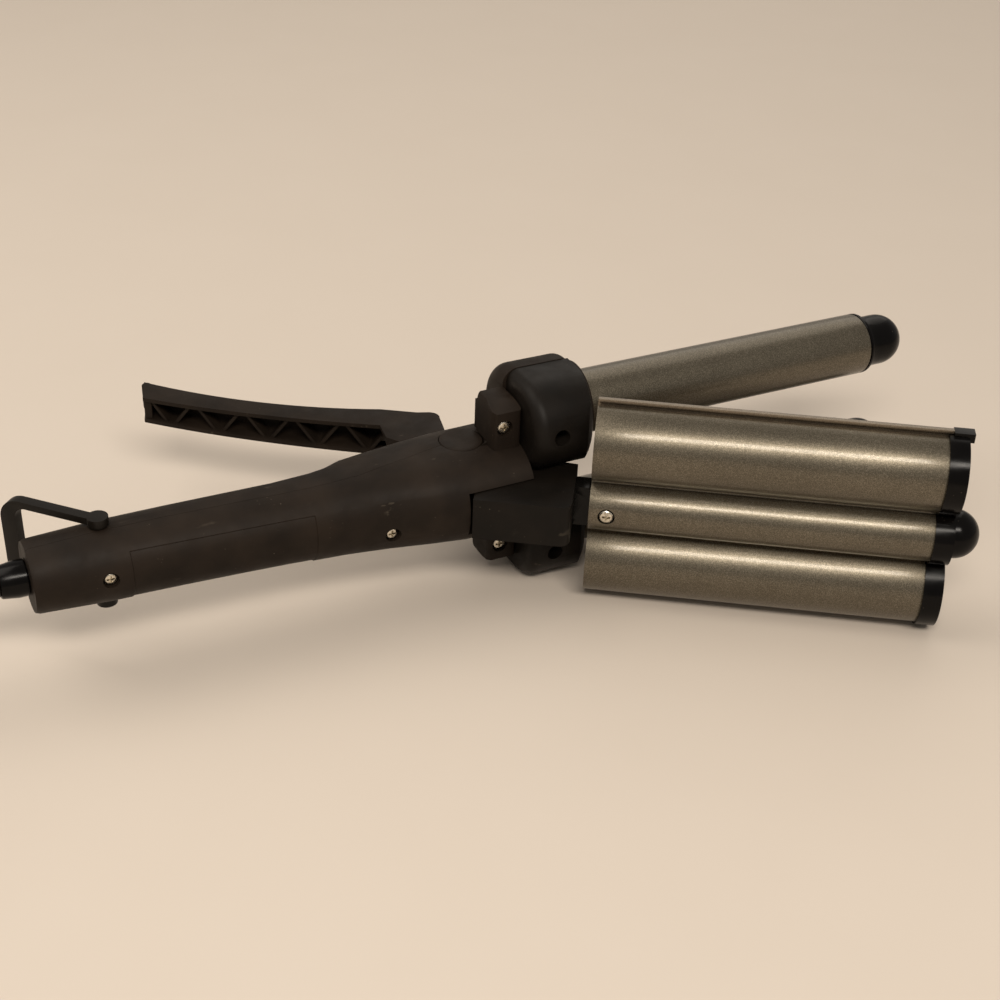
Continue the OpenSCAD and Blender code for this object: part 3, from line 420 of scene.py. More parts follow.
class Finish(Enum):
    """The finishes of the record's material slots."""

    HANDLE = Moulded("dark_plastic", "1a140f", 0.55, 0.34, 0.03, dust=0.4, worn="45382d",
                     shine=0.13, scuffs=0.34)
    CAP = Moulded("cap_plastic", "0f0c09", 0.46, 0.34, 0.025, dust=0.3, worn="2e261f",
                  shine=0.14, scuffs=0.14)
    LOOP = Moulded("loop_plastic", "100d0a", 0.4, 0.4, 0.015, dust=0.2, worn="2c251e",
                   shine=0.2)
    BRACKET = Moulded("bracket_plastic", "090807", 0.2, 0.6, 0.006, dust=0.1, worn="1f1c19",
                      shine=0.16)
    COAT = Coated("metallic_coat", "5b5447", "b9af9b", 0.38)
    # The plate's coat colour is painted lighter than the cover's coat. This is a painted
    # highlight standing in for the bright line along its upper edge.
    PLATE = Coated("plate_coat", "75695a", "c4b8a2", 0.34)
    BLACK = Moulded("black_plastic", "040303", 0.2, 1.6, 0.01, dust=0.2, worn="171411",
                    shine=0.14)
    CERAMIC = Moulded("ceramic", "d8d2c2", 0.6, 0.2, 0.02, worn="a89f8c")
    PAD = Moulded("heat_pad", "9c6a58", 0.75, 0.5, 0.03, worn="7d5648")
    ALUMINIUM = Bare("clip_aluminium", "b9bab8", 0.38, "7f807e")
    STEEL_CAN = Bare("thermostat_steel", "a3a5a6", 0.3, "6d6f70")
    BOARD = Moulded("board", "8a6a2c", 0.4, 0.8, 0.01, worn="5f4a20")
    PARTS = Moulded("components", "3a3f46", 0.35, 0.6, 0.01, worn="6a6f76")
    INNER = Moulded("inner_plastic", "1f1f1f", 0.5, 0.4, 0.02)
    LENS = Clear("red_lens", "b3241c")
    STEEL = Bare("steel", "9a9c9d", 0.26, "5c5d5e")
    SCREW = Bare("screw_metal", "dcd5c6", 0.24, "5b5040")
    BRONZE = Bare("bronze", "a4763c", 0.34, "6a4a26")
    BLUE = Moulded("wire_blue", "20427c", 0.4, 0.6, 0.006, worn="35588f")
    WHITE = Moulded("wire_white", "cfccc4", 0.5, 0.6, 0.006, worn="b1aea6")
    CORD = Moulded("cord_rubber", "0f0d0b", 0.32, 0.8, 0.01, dust=0.2, worn="2c2721",
                   shine=0.25)
    TIE = Moulded("tie", "2f2b27", 0.7, 0.3, 0.05, dust=0.1)
    BLADE = Bare("blade_metal", "cfc7ae", 0.22, "8a8068")


class Palette:
    """Makes each finish once and hands it out."""

    def __init__(self) -> None:
        """Starts with no finish made."""
        self._made: dict[Finish, Material] = {}

    def material(self, finish: Finish) -> Material:
        """The material of a finish."""
        if finish not in self._made:
            self._made[finish] = finish.value.build()
        return self._made[finish]

    def for_slot(self, name: str) -> Finish:
        """The finish of a slot of the record."""
        return next(f for f in Finish if f.value.slot == name)


# ------------------------------------------------------------------ bench


class Axis(Enum):
    """The axes a round piece can stand on."""

    X = (1.0, 0.0, 0.0)
    Y = (0.0, 1.0, 0.0)
    Z = (0.0, 0.0, 1.0)


class Part(Enum):
    """The parts of a mesh that can be selected."""

    VERTEX = "VERT"
    EDGE = "EDGE"
    FACE = "FACE"


class Bench:
    """The modelling tools, in the steps of a hand at work."""

    @staticmethod
    def clear() -> None:
        """Leaves object mode with nothing selected."""
        if bpy.context.object and bpy.context.object.mode != "OBJECT":
            bpy.ops.object.mode_set(mode="OBJECT")
        bpy.ops.object.select_all(action="DESELECT")

    @staticmethod
    def pick(obj: Object) -> None:
        """Selects one object alone and makes it the active one."""
        Bench.clear()
        obj.select_set(True)
        bpy.context.view_layer.objects.active = obj

    @staticmethod
    def edit(obj: Object, kind: Part = Part.VERTEX) -> None:
        """Opens an object for editing with everything selected."""
        Bench.pick(obj)
        bpy.ops.object.mode_set(mode="EDIT")
        bpy.ops.mesh.select_mode(type=kind.value)
        bpy.ops.mesh.select_all(action="SELECT")

    @staticmethod
    def done() -> None:
        """Goes back to object mode."""
        bpy.ops.object.mode_set(mode="OBJECT")

    @staticmethod
    def choose(obj: Object, kind: Part, test: Callable[[MeshPolygon | MeshVertex], bool]) -> None:
        """Opens an object for editing with only the parts that pass a test selected.

        Args:
            obj: The object.
            kind: Its faces or its vertices.
            test: Whether one of them is selected.
        """
        Bench.edit(obj, kind)
        bpy.ops.mesh.select_all(action="DESELECT")
        Bench.done()
        for part in obj.data.polygons if kind is Part.FACE else obj.data.vertices:
            part.select = test(part)
        bpy.ops.object.mode_set(mode="EDIT")

    @staticmethod
    def named(name: str) -> Object:
        """Names the newest object and puts its place in its mesh."""
        obj = bpy.context.object
        obj.name = name
        obj.data.name = name
        bpy.ops.object.transform_apply(location=True, rotation=True, scale=True)
        return obj

    @staticmethod
    def chain(name: str, points: Sequence[Point3]) -> Object:
        """Draws a line of edges, from one vertex pulled along the points.

        Args:
            name: The new object's name.
            points: The line's points in millimetres.

        Returns:
            The new object.
        """
        Bench.clear()
        path = [Vector(p) * MM for p in points]
        bpy.ops.mesh.primitive_plane_add(size=MM, location=path[0])
        obj = Bench.named(name)
        Bench.edit(obj)
        bpy.ops.mesh.merge(type="CENTER")
        for last, point in zip(path, path[1:]):
            bpy.ops.mesh.extrude_region_move(
                TRANSFORM_OT_translate={"value": tuple(point - last)})
        Bench.done()
        return obj

    @staticmethod
    def sweep(obj: Object, way: Point3, steps: int) -> None:
        """Pulls all of an object's edges into a wall.

        Args:
            obj: The object.
            way: The whole way in millimetres.
            steps: Number of pulls.
        """
        Bench.edit(obj, Part.EDGE)
        step = tuple(Vector(way) * MM / steps)
        for _ in range(steps):
            bpy.ops.mesh.extrude_region_move(TRANSFORM_OT_translate={"value": step})
        Bench.done()

    @staticmethod
    def spin(obj: Object, centre: Point3, axis: Axis, steps: int) -> None:
        """Turns a line of edges once round an axis.

        Args:
            obj: The object.
            centre: A point on the axis, in millimetres.
            axis: The axis.
            steps: Number of faces round it.
        """
        Bench.edit(obj, Part.EDGE)
        bpy.ops.mesh.spin(steps=steps, angle=2 * math.pi, center=tuple(Vector(centre) * MM),
                          axis=axis.value)
        bpy.ops.mesh.select_all(action="SELECT")
        bpy.ops.mesh.remove_doubles(threshold=MERGE_DISTANCE)
        bpy.ops.mesh.normals_make_consistent(inside=False)
        Bench.done()

    @staticmethod
    def turned(name: str, outline: Sequence[Point], centre: Point3, axis: Axis,
               steps: int) -> Object:
        """A round piece, turned from its outline.

        Args:
            name: The new object's name.
            outline: Pairs of a place along the axis and a radius, from the centre.
            centre: The point on the axis that the outline starts from.
            axis: The axis.
            steps: Number of faces round it.

        Returns:
            The new object.
        """
        way = Vector(axis.value)
        out = Vector((0, 0, 1)) if axis is not Axis.Z else Vector((1, 0, 0))
        base = Vector(centre)
        obj = Bench.chain(name, [tuple(base + way * a + out * r) for a, r in outline])
        Bench.spin(obj, centre, axis, steps)
        return obj

    @staticmethod
    def block(name: str, low: Point3, high: Point3) -> Object:
        """A block between two corners in millimetres."""
        Bench.clear()
        a, b = Vector(low) * MM, Vector(high) * MM
        bpy.ops.mesh.primitive_cube_add(size=1, location=(a + b) / 2, scale=b - a)
        return Bench.named(name)

    @staticmethod
    def rod(name: str, centre: Point3, axis: Axis, radius: float, length: float,
            sides: int = 48) -> Object:
        """A round rod.

        Args:
            name: The new object's name.
            centre: Its middle, in millimetres.
            axis: The axis it lies along.
            radius: Its radius.
            length: Its length.
            sides: Number of faces round it.

        Returns:
            The new object.
        """
        Bench.clear()
        turn = {Axis.X: (0, math.pi / 2, 0), Axis.Y: (math.pi / 2, 0, 0), Axis.Z: (0, 0, 0)}
        bpy.ops.mesh.primitive_cylinder_add(
            vertices=sides, radius=radius * MM, depth=length * MM,
            location=Vector(centre) * MM, rotation=turn[axis])
        return Bench.named(name)

    @staticmethod
    def apply(obj: Object, kind: str, **settings: object) -> None:
        """Adds a modifier and applies it.

        Args:
            obj: The object.
            kind: The modifier's type.
            **settings: Its settings.
        """
        Bench.pick(obj)
        bpy.ops.object.modifier_add(type=kind)
        modifier = obj.modifiers[-1]
        for name, value in settings.items():
            setattr(modifier, name, value)
        bpy.ops.object.modifier_apply(modifier=modifier.name)

    @staticmethod
    def cut(obj: Object, tool: Object) -> None:
        """Cuts the shape of a tool out of an object, and uses the tool up."""
        Bench.apply(obj, "BOOLEAN", object=tool, solver="EXACT", operation="DIFFERENCE")
        bpy.data.objects.remove(tool)

    @staticmethod
    def soften(obj: Object, width: float, segments: int = 2, angle: float = 34) -> None:
        """Rounds an object's edges.

        Args:
            obj: The object.
            width: Width of the rounding in millimetres.
            segments: Number of faces across it.
            angle: The smallest angle that is rounded, in degrees.
        """
        Bench.apply(obj, "BEVEL", width=width * MM, segments=segments, profile=0.6,
                    limit_method="ANGLE", angle_limit=math.radians(angle),
                    use_clamp_overlap=True, miter_outer="MITER_ARC")

    @staticmethod
    def smooth(obj: Object, angle: float) -> None:
        """Shades an object smooth, except at edges sharper than an angle in degrees."""
        Bench.pick(obj)
        bpy.ops.object.shade_smooth_by_angle(angle=math.radians(angle))

    @staticmethod
    def copy_node(node: str, name: str) -> Object:
        """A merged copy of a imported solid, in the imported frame.

        Args:
            node: The solid's node.
            name: The new object's name.

        Returns:
            The new object, its flat areas made whole.
        """
        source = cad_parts[node]
        mesh = source.data.copy()
        mesh.transform(source.matrix_world)
        mesh.materials.clear()
        obj = bpy.data.objects.new(name, mesh)
        bpy.context.scene.collection.objects.link(obj)
        Bench.edit(obj)
        bpy.ops.mesh.remove_doubles(threshold=MERGE_DISTANCE)
        bpy.ops.mesh.customdata_custom_splitnormals_clear()
        bpy.ops.mesh.dissolve_limited(angle_limit=math.radians(0.4))
        Bench.done()
        return obj


# ------------------------------------------------------------------ assemblies


@dataclass
class Assembly:
    """A sub-assembly that moves as one body.

    Attributes:
        palette: The finishes.
        body: The body that its pieces ride on.
        axes: The axes that they are drawn on.
        made: The pieces made so far.
    """

    palette: Palette
    body: str = "handle"
    axes: Place = HANDLE_AXES
    made: list[Object] = field(default_factory=list)

    def place(self, obj: Object, finish: Finish, *nodes: str, angle: float | None = None,
              drawn: bool = True) -> Object:
        """Shades a piece, puts it in its place and gives it its finish.

        Args:
            obj: The piece.
            finish: Its finish.
            *nodes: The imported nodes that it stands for.
            angle: The sharpest edge that shades smooth, in degrees, if it isn't shaded yet.
            drawn: Whether it is still on the drawing axes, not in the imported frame.

        Returns:
            The piece.
        """
        if angle:
            Bench.smooth(obj, angle)
        Bench.clear()
        if drawn:
            obj.data.transform(self.axes.matrix())
        obj.data.materials.clear()
        obj.data.materials.append(self.palette.material(finish))
        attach(obj, self.body)
        if nodes:
            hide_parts(*nodes)
        self.made.append(obj)
        log.info("%s on %s: %d faces", obj.name, self.body,
                 len(obj.data.polygons) if obj.type == "MESH" else 0)
        return obj

    def skin(self, node: str, finish: Finish, width: float, angle: float,
             segments: int = 2) -> Object:
        """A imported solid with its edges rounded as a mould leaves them.

        Args:
            node: The solid's node.
            finish: Its finish.
            width: Width of the rounding in millimetres.
            angle: The sharpest edge that still shades smooth, in degrees.
            segments: Number of faces across the rounding.

        Returns:
            The piece.
        """
        obj = Bench.copy_node(node, node + "_moulded")
        if width > 0:
            Bench.soften(obj, width, segments)
        return self.place(obj, finish, node, angle=angle, drawn=False)


@dataclass(frozen=True)
class CrossScrew:
    """A screw with a domed head and a cross recess, along +y.

    Attributes:
        at: Middle of the head's outer face, in millimetres.
        length: Whole length.
        head_r: Radius of the head.
        head_h: Height of the head.
        shank_r: Radius of the shank.
        pitch: Distance between two threads.
    """

    at: Point3
    length: float
    head_r: float = 2.6
    head_h: float = 1.6
    shank_r: float = 1.4
    pitch: float = 1.1

    def build(self, name: str) -> Object:
        """Makes the screw.

        Args:
            name: Its name.

        Returns:
            The screw on its drawing axes.
        """
        dome = [(0.42 * (1 - math.cos(a)) * 0.9, self.head_r * math.sin(a) * 0.86)
                for a in (math.pi / 2 * i / 8 for i in range(9))]
        outline = dome + [(0.55, self.head_r * 0.97), (0.8, self.head_r),
                          (self.head_h - 0.2, self.head_r), (self.head_h, self.head_r - 0.2),
                          (self.head_h, self.shank_r)]
        count = int((self.length - self.head_h - 3) / self.pitch)
        for i in range(count):
            start = self.head_h + 1.2 + i * self.pitch
            outline += [(start, self.shank_r - 0.25),
                        (start + self.pitch / 2, self.shank_r)]
        outline += [(self.length - 1.2, self.shank_r - 0.25), (self.length, 0.0)]
        screw = Bench.turned(name, outline, self.at, Axis.Y, 40)
        x, y, z = self.at
        arm, wide, deep = self.head_r * 0.7, self.head_r * 0.2, self.head_h * 0.8
        floor = (y + deep - 0.1) * MM
        for size in ((arm, wide), (wide, arm)):
            tool = Bench.block("driver", (x - size[0], y - 0.5, z - size[1]),
                               (x + size[0], y + deep, z + size[1]))
            Bench.choose(tool, Part.FACE, lambda face: face.center.y > floor)
            bpy.ops.transform.resize(value=(0.5, 1, 0.5))
            Bench.done()
            Bench.cut(screw, tool)
        Bench.smooth(screw, 38)
        return screw


@dataclass
class Barrels(Assembly):
    """The two heated barrels with their tips.

    Attributes:
        radius: Radius of a barrel.
        wall: Its wall.
        start: Where it starts in the head.
        end: Where its metal ends.
        front: Distance of its axis in front of the hinge.
        offset: Distance of its axis from the middle plane.
        ring: Thickness of the dark ring on its end.
        neck: Length of the tip's straight part.
        tip_r: Radius of the tip.
    """

    radius: float = 12.0
    wall: float = 1.2
    start: float = 33.5
    end: float = 172.6
    front: float = 2.4
    offset: float = 24.0
    ring: float = 1.6
    neck: float = 8.8
    tip_r: float = 10.0

    def tube(self, name: str, side: int) -> None:
        """Makes one tube with rolled ends.

        Args:
            name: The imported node's name.
            side: 1 for the upper one and -1 for the lower one.
        """
        r, inner = self.radius, self.radius - self.wall
        outline = [(self.start, inner), (self.start, r - 0.3), (self.start + 0.3, r)]
        outline += [(self.start + (self.end - self.start) * i / 12, r) for i in range(1, 12)]
        outline += [(self.end - 0.7, r), *[(self.end - 0.7 + a, r - 0.7 + b) for a, b in
                                           arc((0, 0), 0.7, 75, 15, 4)],
                    (self.end, r - 0.75), (self.end, inner), (self.start, inner)]
        tube = Bench.turned(name + "_tube", [(x, max(radius, inner)) for x, radius in outline],
                            (0, -self.front, side * self.offset), Axis.X, 96)
        self.place(tube, Finish.COAT, name, angle=30)

    def tip(self, name: str, side: int) -> None:
        """Makes one tip: a plug in the barrel, a ring, a neck and a dome.

        Args:
            name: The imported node's name.
            side: 1 for the upper one and -1 for the lower one.
        """
        face = self.end + self.ring
        ball = face + self.neck
        plug = self.radius - self.wall - 0.1
        outline = [(self.end - 8, 0.0), (self.end - 8, plug - 0.4), (self.end - 7.6, plug),
                   (self.end + 0.05, plug), (self.end + 0.05, self.radius - 0.25),
                   (self.end + 0.3, self.radius), (face - 0.5, self.radius),
                   (face - 0.15, self.radius - 0.15), (face, self.radius - 0.5),
                   (face, self.tip_r + 0.35), (face + 0.12, self.tip_r + 0.1),
                   (face + 0.4, self.tip_r), (face + self.neck / 2, self.tip_r)]
        outline += [(ball + a, b) for b, a in arc((0, 0), self.tip_r, 0, 90, 20)]
        tip = Bench.turned(name + "_dome", outline, (0, -self.front, side * self.offset),
                           Axis.X, 72)
        self.place(tip, Finish.BLACK, name, angle=32)

    def build(self) -> None:
        """Makes both barrels."""
        for side, word in ((1, "upper"), (-1, "lower")):
            self.tube(word + "_barrel", side)
            self.tip(word + "_barrel_tip", side)


@dataclass
class Handle(Assembly):
    """The handle shells, the head, the hinge caps, the screws and the lens.

    Attributes:
        half_width: Half width of the handle at the hinge.
        cap_r: Radius of a hinge cap.
        rear_screw: Head of the rear screw.
        front_screw: Head of the front screw.
        ear_screw: Head of a screw in an ear, on the upper side.
        cover_screw: Head of a screw in a cover, on the upper side.
        lens: Middle of the lens: along the handle, and towards the lever.
        lens_r: Radius of the lens.
        grip_half: Half thickness of the grip at the lens.
        panel: Two opposite corners of the label field: along the handle, and across.
        panel_depth: Its depth.
        panel_rim: Width of its sloping rim.
        panel_clear: How far in front of the hinge's line it stays.
        panel_out: Least distance of its faces from the grip's middle line.
        ear_start: Where the ears start: along the handle, in front of the hinge's line, and
            from the middle plane.
        ear_back: How far behind the hinge's line they reach.
        ear_screw_room: Part beside an ear's screw that keeps its width.
        ear_narrowing: Share of its width that the rest of an ear keeps.
        cap_hole_r: Radius kept clear round a hinge cap.
    """

    half_width: float = 17.2
    cap_r: float = 8.0
    rear_screw: Point3 = (-133.4, -13.6, 0.8)
    front_screw: Point3 = (-34.8, -19.0, -3.5)
    ear_screw: Point3 = (12.0, -11.0, 25.2)
    cover_screw: Point3 = (28.4, -5.6, 24.7)
    lens: Point = (-78.0, -1.5)
    lens_r: float = 1.8
    grip_half: float = 14.1
    panel: tuple[Point, Point] = ((-126.0, -13.4), (-62.0, 9.0))
    panel_depth: float = 0.35
    panel_rim: float = 0.25
    panel_clear: float = 4.0
    panel_out: float = 12.5
    ear_start: Point3 = (4.0, -12.0, 11.5)
    ear_back: float = 2.7
    ear_screw_room: float = 3.2
    ear_narrowing: float = 0.35
    cap_hole_r: float = 8.45

    def sink_panel(self, shell: Object) -> None:
        """Sinks the bare label field in the front shell, facing away from the lever.

        Args:
            shell: The front shell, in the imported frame.
        """
        (left, low), (right, high) = self.panel
        lines = ((Vector((left, 0, 0)), (1, 0, 0)), (Vector((right, 0, 0)), (1, 0, 0)),
                 (Vector((0, 0, MID_Z + low)), (0, 0, 1)),
                 (Vector((0, 0, MID_Z + high)), (0, 0, 1)))
        for point, normal in lines:
            Bench.edit(shell, Part.FACE)
            bpy.ops.mesh.bisect(plane_co=tuple(point * MM), plane_no=normal)
            Bench.done()

        def in_panel(face: MeshPolygon) -> bool:
            """Whether a face of the shell is part of the field."""
            x, y, z = face.center / MM
            out = Vector((0, y - HINGE_Y, z - MID_Z))
            return (left < x < right and low < z - MID_Z < high
                    and y < HINGE_Y - self.panel_clear and face.area > 0
                    and out.normalized().dot(face.normal) > 0.5
                    and out.length > self.panel_out)

        Bench.choose(shell, Part.FACE, in_panel)
        bpy.ops.mesh.inset(thickness=self.panel_rim * MM, depth=-self.panel_depth * MM)
        Bench.done()

    def narrow_ears(self, shell: Object) -> None:
        """Draws the rear sides of the two ears in, towards their screws.

        Args:
            shell: The front shell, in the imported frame.
        """
        pivot = self.ear_screw[0] - self.ear_screw_room
        rear, front, foot = self.ear_start

        def in_ear(vertex: MeshVertex) -> bool:
            """Whether a vertex of the shell lies in the part that is drawn in."""
            x, y, z = vertex.co / MM
            across = abs(z - MID_Z)
            clear = (across > self.half_width + 0.05
                     or math.hypot(x, y - HINGE_Y) > self.cap_hole_r)
            return (rear < x < pivot and front < y - HINGE_Y < self.ear_back
                    and across > foot and clear)

        Bench.choose(shell, Part.VERTEX, in_ear)
        bpy.ops.transform.resize(value=(self.ear_narrowing, 1, 1),
                                 center_override=(pivot * MM, 0, 0))
        Bench.done()

    def caps(self) -> None:
        """Makes the two round caps over the hinge pin, each a little hollow."""
        for side, word in ((1, "upper"), (-1, "lower")):
            low, top, r = self.half_width - 1.4, self.half_width - 0.1, self.cap_r
            outline = [(low, 0.0), (low, r - 0.1), (low + 0.1, r), (top - 0.35, r),
                       (top - 0.1, r - 0.12), (top, r - 0.4), (top - 0.05, r - 2.0),
                       (top - 0.12, r - 4.5), (top - 0.15, 0.0)]
            cap = Bench.turned(word + "_hinge_cap_disc", [(side * a, b) for a, b in outline],
                               (0, 0, 0), Axis.Z, 72)
            self.place(cap, Finish.HANDLE, word + "_hinge_cap", angle=25)

    def screws(self) -> None:
        """Makes the two handle screws and the four screws of the head."""
        rear = CrossScrew(self.rear_screw, 20, 2.3).build("rear_handle_screw")
        front = CrossScrew(self.front_screw, 24, 2.3).build("front_handle_screw")
        self.place(rear, Finish.SCREW, "handle_screws")
        self.place(front, Finish.SCREW)
        for side, word in ((1, "upper"), (-1, "lower")):
            for at, length, use in ((self.ear_screw, 16, "ear"),
                                    (self.cover_screw, 20, "cover")):
                screw = CrossScrew((at[0], at[1], side * at[2]), length).build(
                    f"{word}_{use}_screw")
                self.place(screw, Finish.SCREW)
        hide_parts("head_screws")

    def glow_lens(self) -> None:
        """Makes the domed lens of the ready light, on the side away from the ears."""
        x, y = self.lens
        base, top = -8.6, -self.grip_half - 0.3
        outline = [(-7.2, 0.0), (-7.2, self.lens_r + 0.7), (-8.7, self.lens_r + 0.7),
                   (-8.7, self.lens_r), (base - 3, self.lens_r), (top + 0.5, self.lens_r)]
        outline += [(top + 0.5 - a, b) for b, a in
                    ((self.lens_r * math.cos(t), 0.5 * math.sin(t))
                     for t in (math.pi / 2 * i / 6 for i in range(1, 7)))]
        lens = Bench.turned("ready_lens", outline, (x, y, 0), Axis.Z, 40)
        self.place(lens, Finish.LENS, "indicator_lens", angle=40)

    def build(self) -> None:
        """Makes the whole handle."""
        front = self.skin("handle_front_shell", Finish.HANDLE, 0.0, 34)
        self.sink_panel(front)
        self.narrow_ears(front)
        Bench.smooth(front, 34)
        self.skin("handle_back_shell", Finish.HANDLE, 0.0, 34)
        self.skin("head_frame", Finish.HANDLE, 0.35, 30)
        self.skin("upper_head_cover", Finish.CAP, 0.35, 30)
        self.skin("lower_head_cover", Finish.CAP, 0.35, 30)
        self.caps()
        self.screws()
        self.glow_lens()


@dataclass
class Jaw(Assembly):
    """The moving arm: the ridged jaw, its end cap and nose, the hinge block and the lever.

    Attributes:
        root: Where the jaw's sheets start.
        end: Where they end.
        ridge_r: Radius of an outer ridge.
        ridge_at: Its centre: height, and distance from the middle plane.
        edge_n: Height of the cover's outer edges.
        groove_at: Distance of a groove from the middle plane.
        groove_n: Height of a groove's floor.
        middle_top: Height of the middle ridge.
        lip: Half width of a groove's floor.
        cover_t: Thickness of the cover.
        screw_x: Distance of the jaw's screw from the hinge.
        screw_foot: Height of the post under the screw's head.
        bracket_low: Lowest height of the bracket.
        tip: Middle of the rib on the lever's tip.
        tip_r: Radius of that rib.
        tip_half: Half width of the lever there.
        tip_wall_y: The tip wall's place at the lever's back, and at its open side.
        tip_slant: How far the wall slants between them.
        plate_reach: How far the plate's end reaches under the end cap's feet.
    """

    root: float = 49.0
    end: float = 171.0
    ridge_r: float = 14.7
    ridge_at: Point = (2.4, 24.0)
    edge_n: float = 4.4
    groove_at: float = 10.2
    groove_n: float = 8.4
    middle_top: float = 16.5
    lip: float = 0.5
    cover_t: float = 0.9
    screw_x: float = 55.4
    screw_foot: float = 14.976
    bracket_low: float = 3.2
    tip: Point = (-131.0, 39.7)
    tip_r: float = 1.9
    tip_half: float = 5.2
    tip_wall_y: Point = (40.4, 28.8)
    tip_slant: float = 3.2
    plate_reach: float = 1.8

    def cover_line(self) -> list[Point]:
        """The cover's outer line, from its upper edge to its lower one.

        Returns:
            Pairs of a height and a distance from the middle plane.
        """
        n, w = self.ridge_at
        outer = math.degrees(math.acos((self.edge_n - n) / self.ridge_r))
        inner = math.degrees(math.acos((self.groove_n + 0.25 - n) / self.ridge_r))
        half = self.groove_at - self.lip
        sag = self.middle_top - self.groove_n
        r = (half * half + sag * sag) / 2 / sag
        side = math.degrees(math.asin(half / r))
        line = arc((n, w), self.ridge_r, outer, -inner, 40)
        line += [(self.groove_n + 0.04, self.groove_at + 0.2), (self.groove_n, self.groove_at),
                 (self.groove_n + 0.04, self.groove_at - 0.2)]
        line += arc((self.middle_top - r, 0), r, side - 1, 0, 18)
        return line + [(a, -b) for a, b in reversed(line[:-1])]

    def cover(self) -> None:
        """Makes the ridged sheet and the hole for its screw."""
        line = [(self.root, -n, w) for n, w in self.cover_line()]
        sheet = Bench.chain("jaw_ridged_cover", line)
        Bench.sweep(sheet, (self.end - self.root, 0, 0), 6)
        if sum(face.normal.y * face.area for face in sheet.data.polygons) > 0:
            Bench.edit(sheet, Part.FACE)
            bpy.ops.mesh.flip_normals()
            Bench.done()
        Bench.apply(sheet, "SOLIDIFY", thickness=self.cover_t * MM, offset=-1,
                    use_even_offset=True)
        hole = Bench.rod("screw_hole", (self.screw_x, -self.middle_top, 0), Axis.Y, 3.1, 8)
        Bench.cut(sheet, hole)
        Bench.soften(sheet, 0.22, 2, 50)
        self.place(sheet, Finish.COAT, "jaw_cover", angle=30)

    def screw(self) -> None:
        """Makes the screw that holds the cover to its bracket."""
        length = self.screw_foot + 1.6 - self.bracket_low - 1.2
        screw = CrossScrew((self.screw_x, -self.screw_foot - 1.6, 0), length)
        self.place(screw.build("jaw_cross_screw"), Finish.SCREW, "jaw_screw")

    def rib(self) -> None:
        """Makes the rounded rib that keeps a thumb on the lever's tip."""
        rib = Bench.rod("lever_tip_rib", (*self.tip, 0), Axis.Z, self.tip_r,
                        2 * self.tip_half, 32)
        Bench.soften(rib, 0.7, 3, 40)
        self.place(rib, Finish.HANDLE, angle=40)

    def tip_wall(self) -> None:
        """Makes the slanting wall that closes the lever's hollow at its tip."""
        back, front = self.tip_wall_y
        wall = Bench.block("lever_tip_wall", (self.tip[0] - 1.0, front, -self.tip_half + 0.6),
                           (self.tip[0] + 2.1, back, self.tip_half - 0.6))
        Bench.choose(wall, Part.FACE, lambda face: face.center.y < (front + 0.1) * MM)
        bpy.ops.transform.translate(value=(self.tip_slant * MM, 0, 0))
        Bench.done()
        Bench.soften(wall, 0.4, 3, 40)
        self.place(wall, Finish.HANDLE, angle=40)

    def plate(self) -> None:
        """Makes the flat plate, with its far end drawn out under the end cap's feet."""
        plate = Bench.copy_node("jaw_plate", "jaw_plate_moulded")
        along = self.axes.matrix().to_3x3() @ Vector((1, 0, 0))
        far = max(vertex.co.dot(along) for vertex in plate.data.vertices) - 0.5 * MM
        Bench.choose(plate, Part.VERTEX, lambda vertex: vertex.co.dot(along) > far)
        bpy.ops.transform.translate(value=tuple(along * self.plate_reach * MM))
        Bench.done()
        Bench.soften(plate, 0.2, 2)
        # The plate's lighter coat colour is a painted highlight for the bright line along its
        # upper edge.
        self.place(plate, Finish.PLATE, "jaw_plate", angle=30, drawn=False)

    def build(self) -> None:
        """Makes the whole arm."""
        self.cover()
        self.plate()
        self.skin("jaw_root_cap", Finish.BLACK, 0.3, 30)
        self.skin("jaw_end_cap", Finish.BLACK, 0.45, 34, 3)
        self.skin("jaw_nose", Finish.BLACK, 0.0, 40)
        self.skin("jaw_bracket", Finish.BRACKET, 0.4, 30)
        self.skin("hinge_block", Finish.CAP, 0.5, 30, 3)
        self.skin("lever_arm", Finish.HANDLE, 0.3, 30)
        self.tip_wall()
        self.rib()
        self.screw()


@dataclass
class Loop(Assembly):
    """The hanging loop on the handle's rear end."""

    def build(self) -> None:
        """Makes the loop."""
        self.skin("hanging_loop", Finish.LOOP, 0.7, 34, 3)


@dataclass
class HeatSwitch(Assembly):
    """The slider of the heat switch."""

    def build(self) -> None:
        """Makes the slider with its grip ribs."""
        self.skin("switch_slider", Finish.CAP, 0.25, 30)


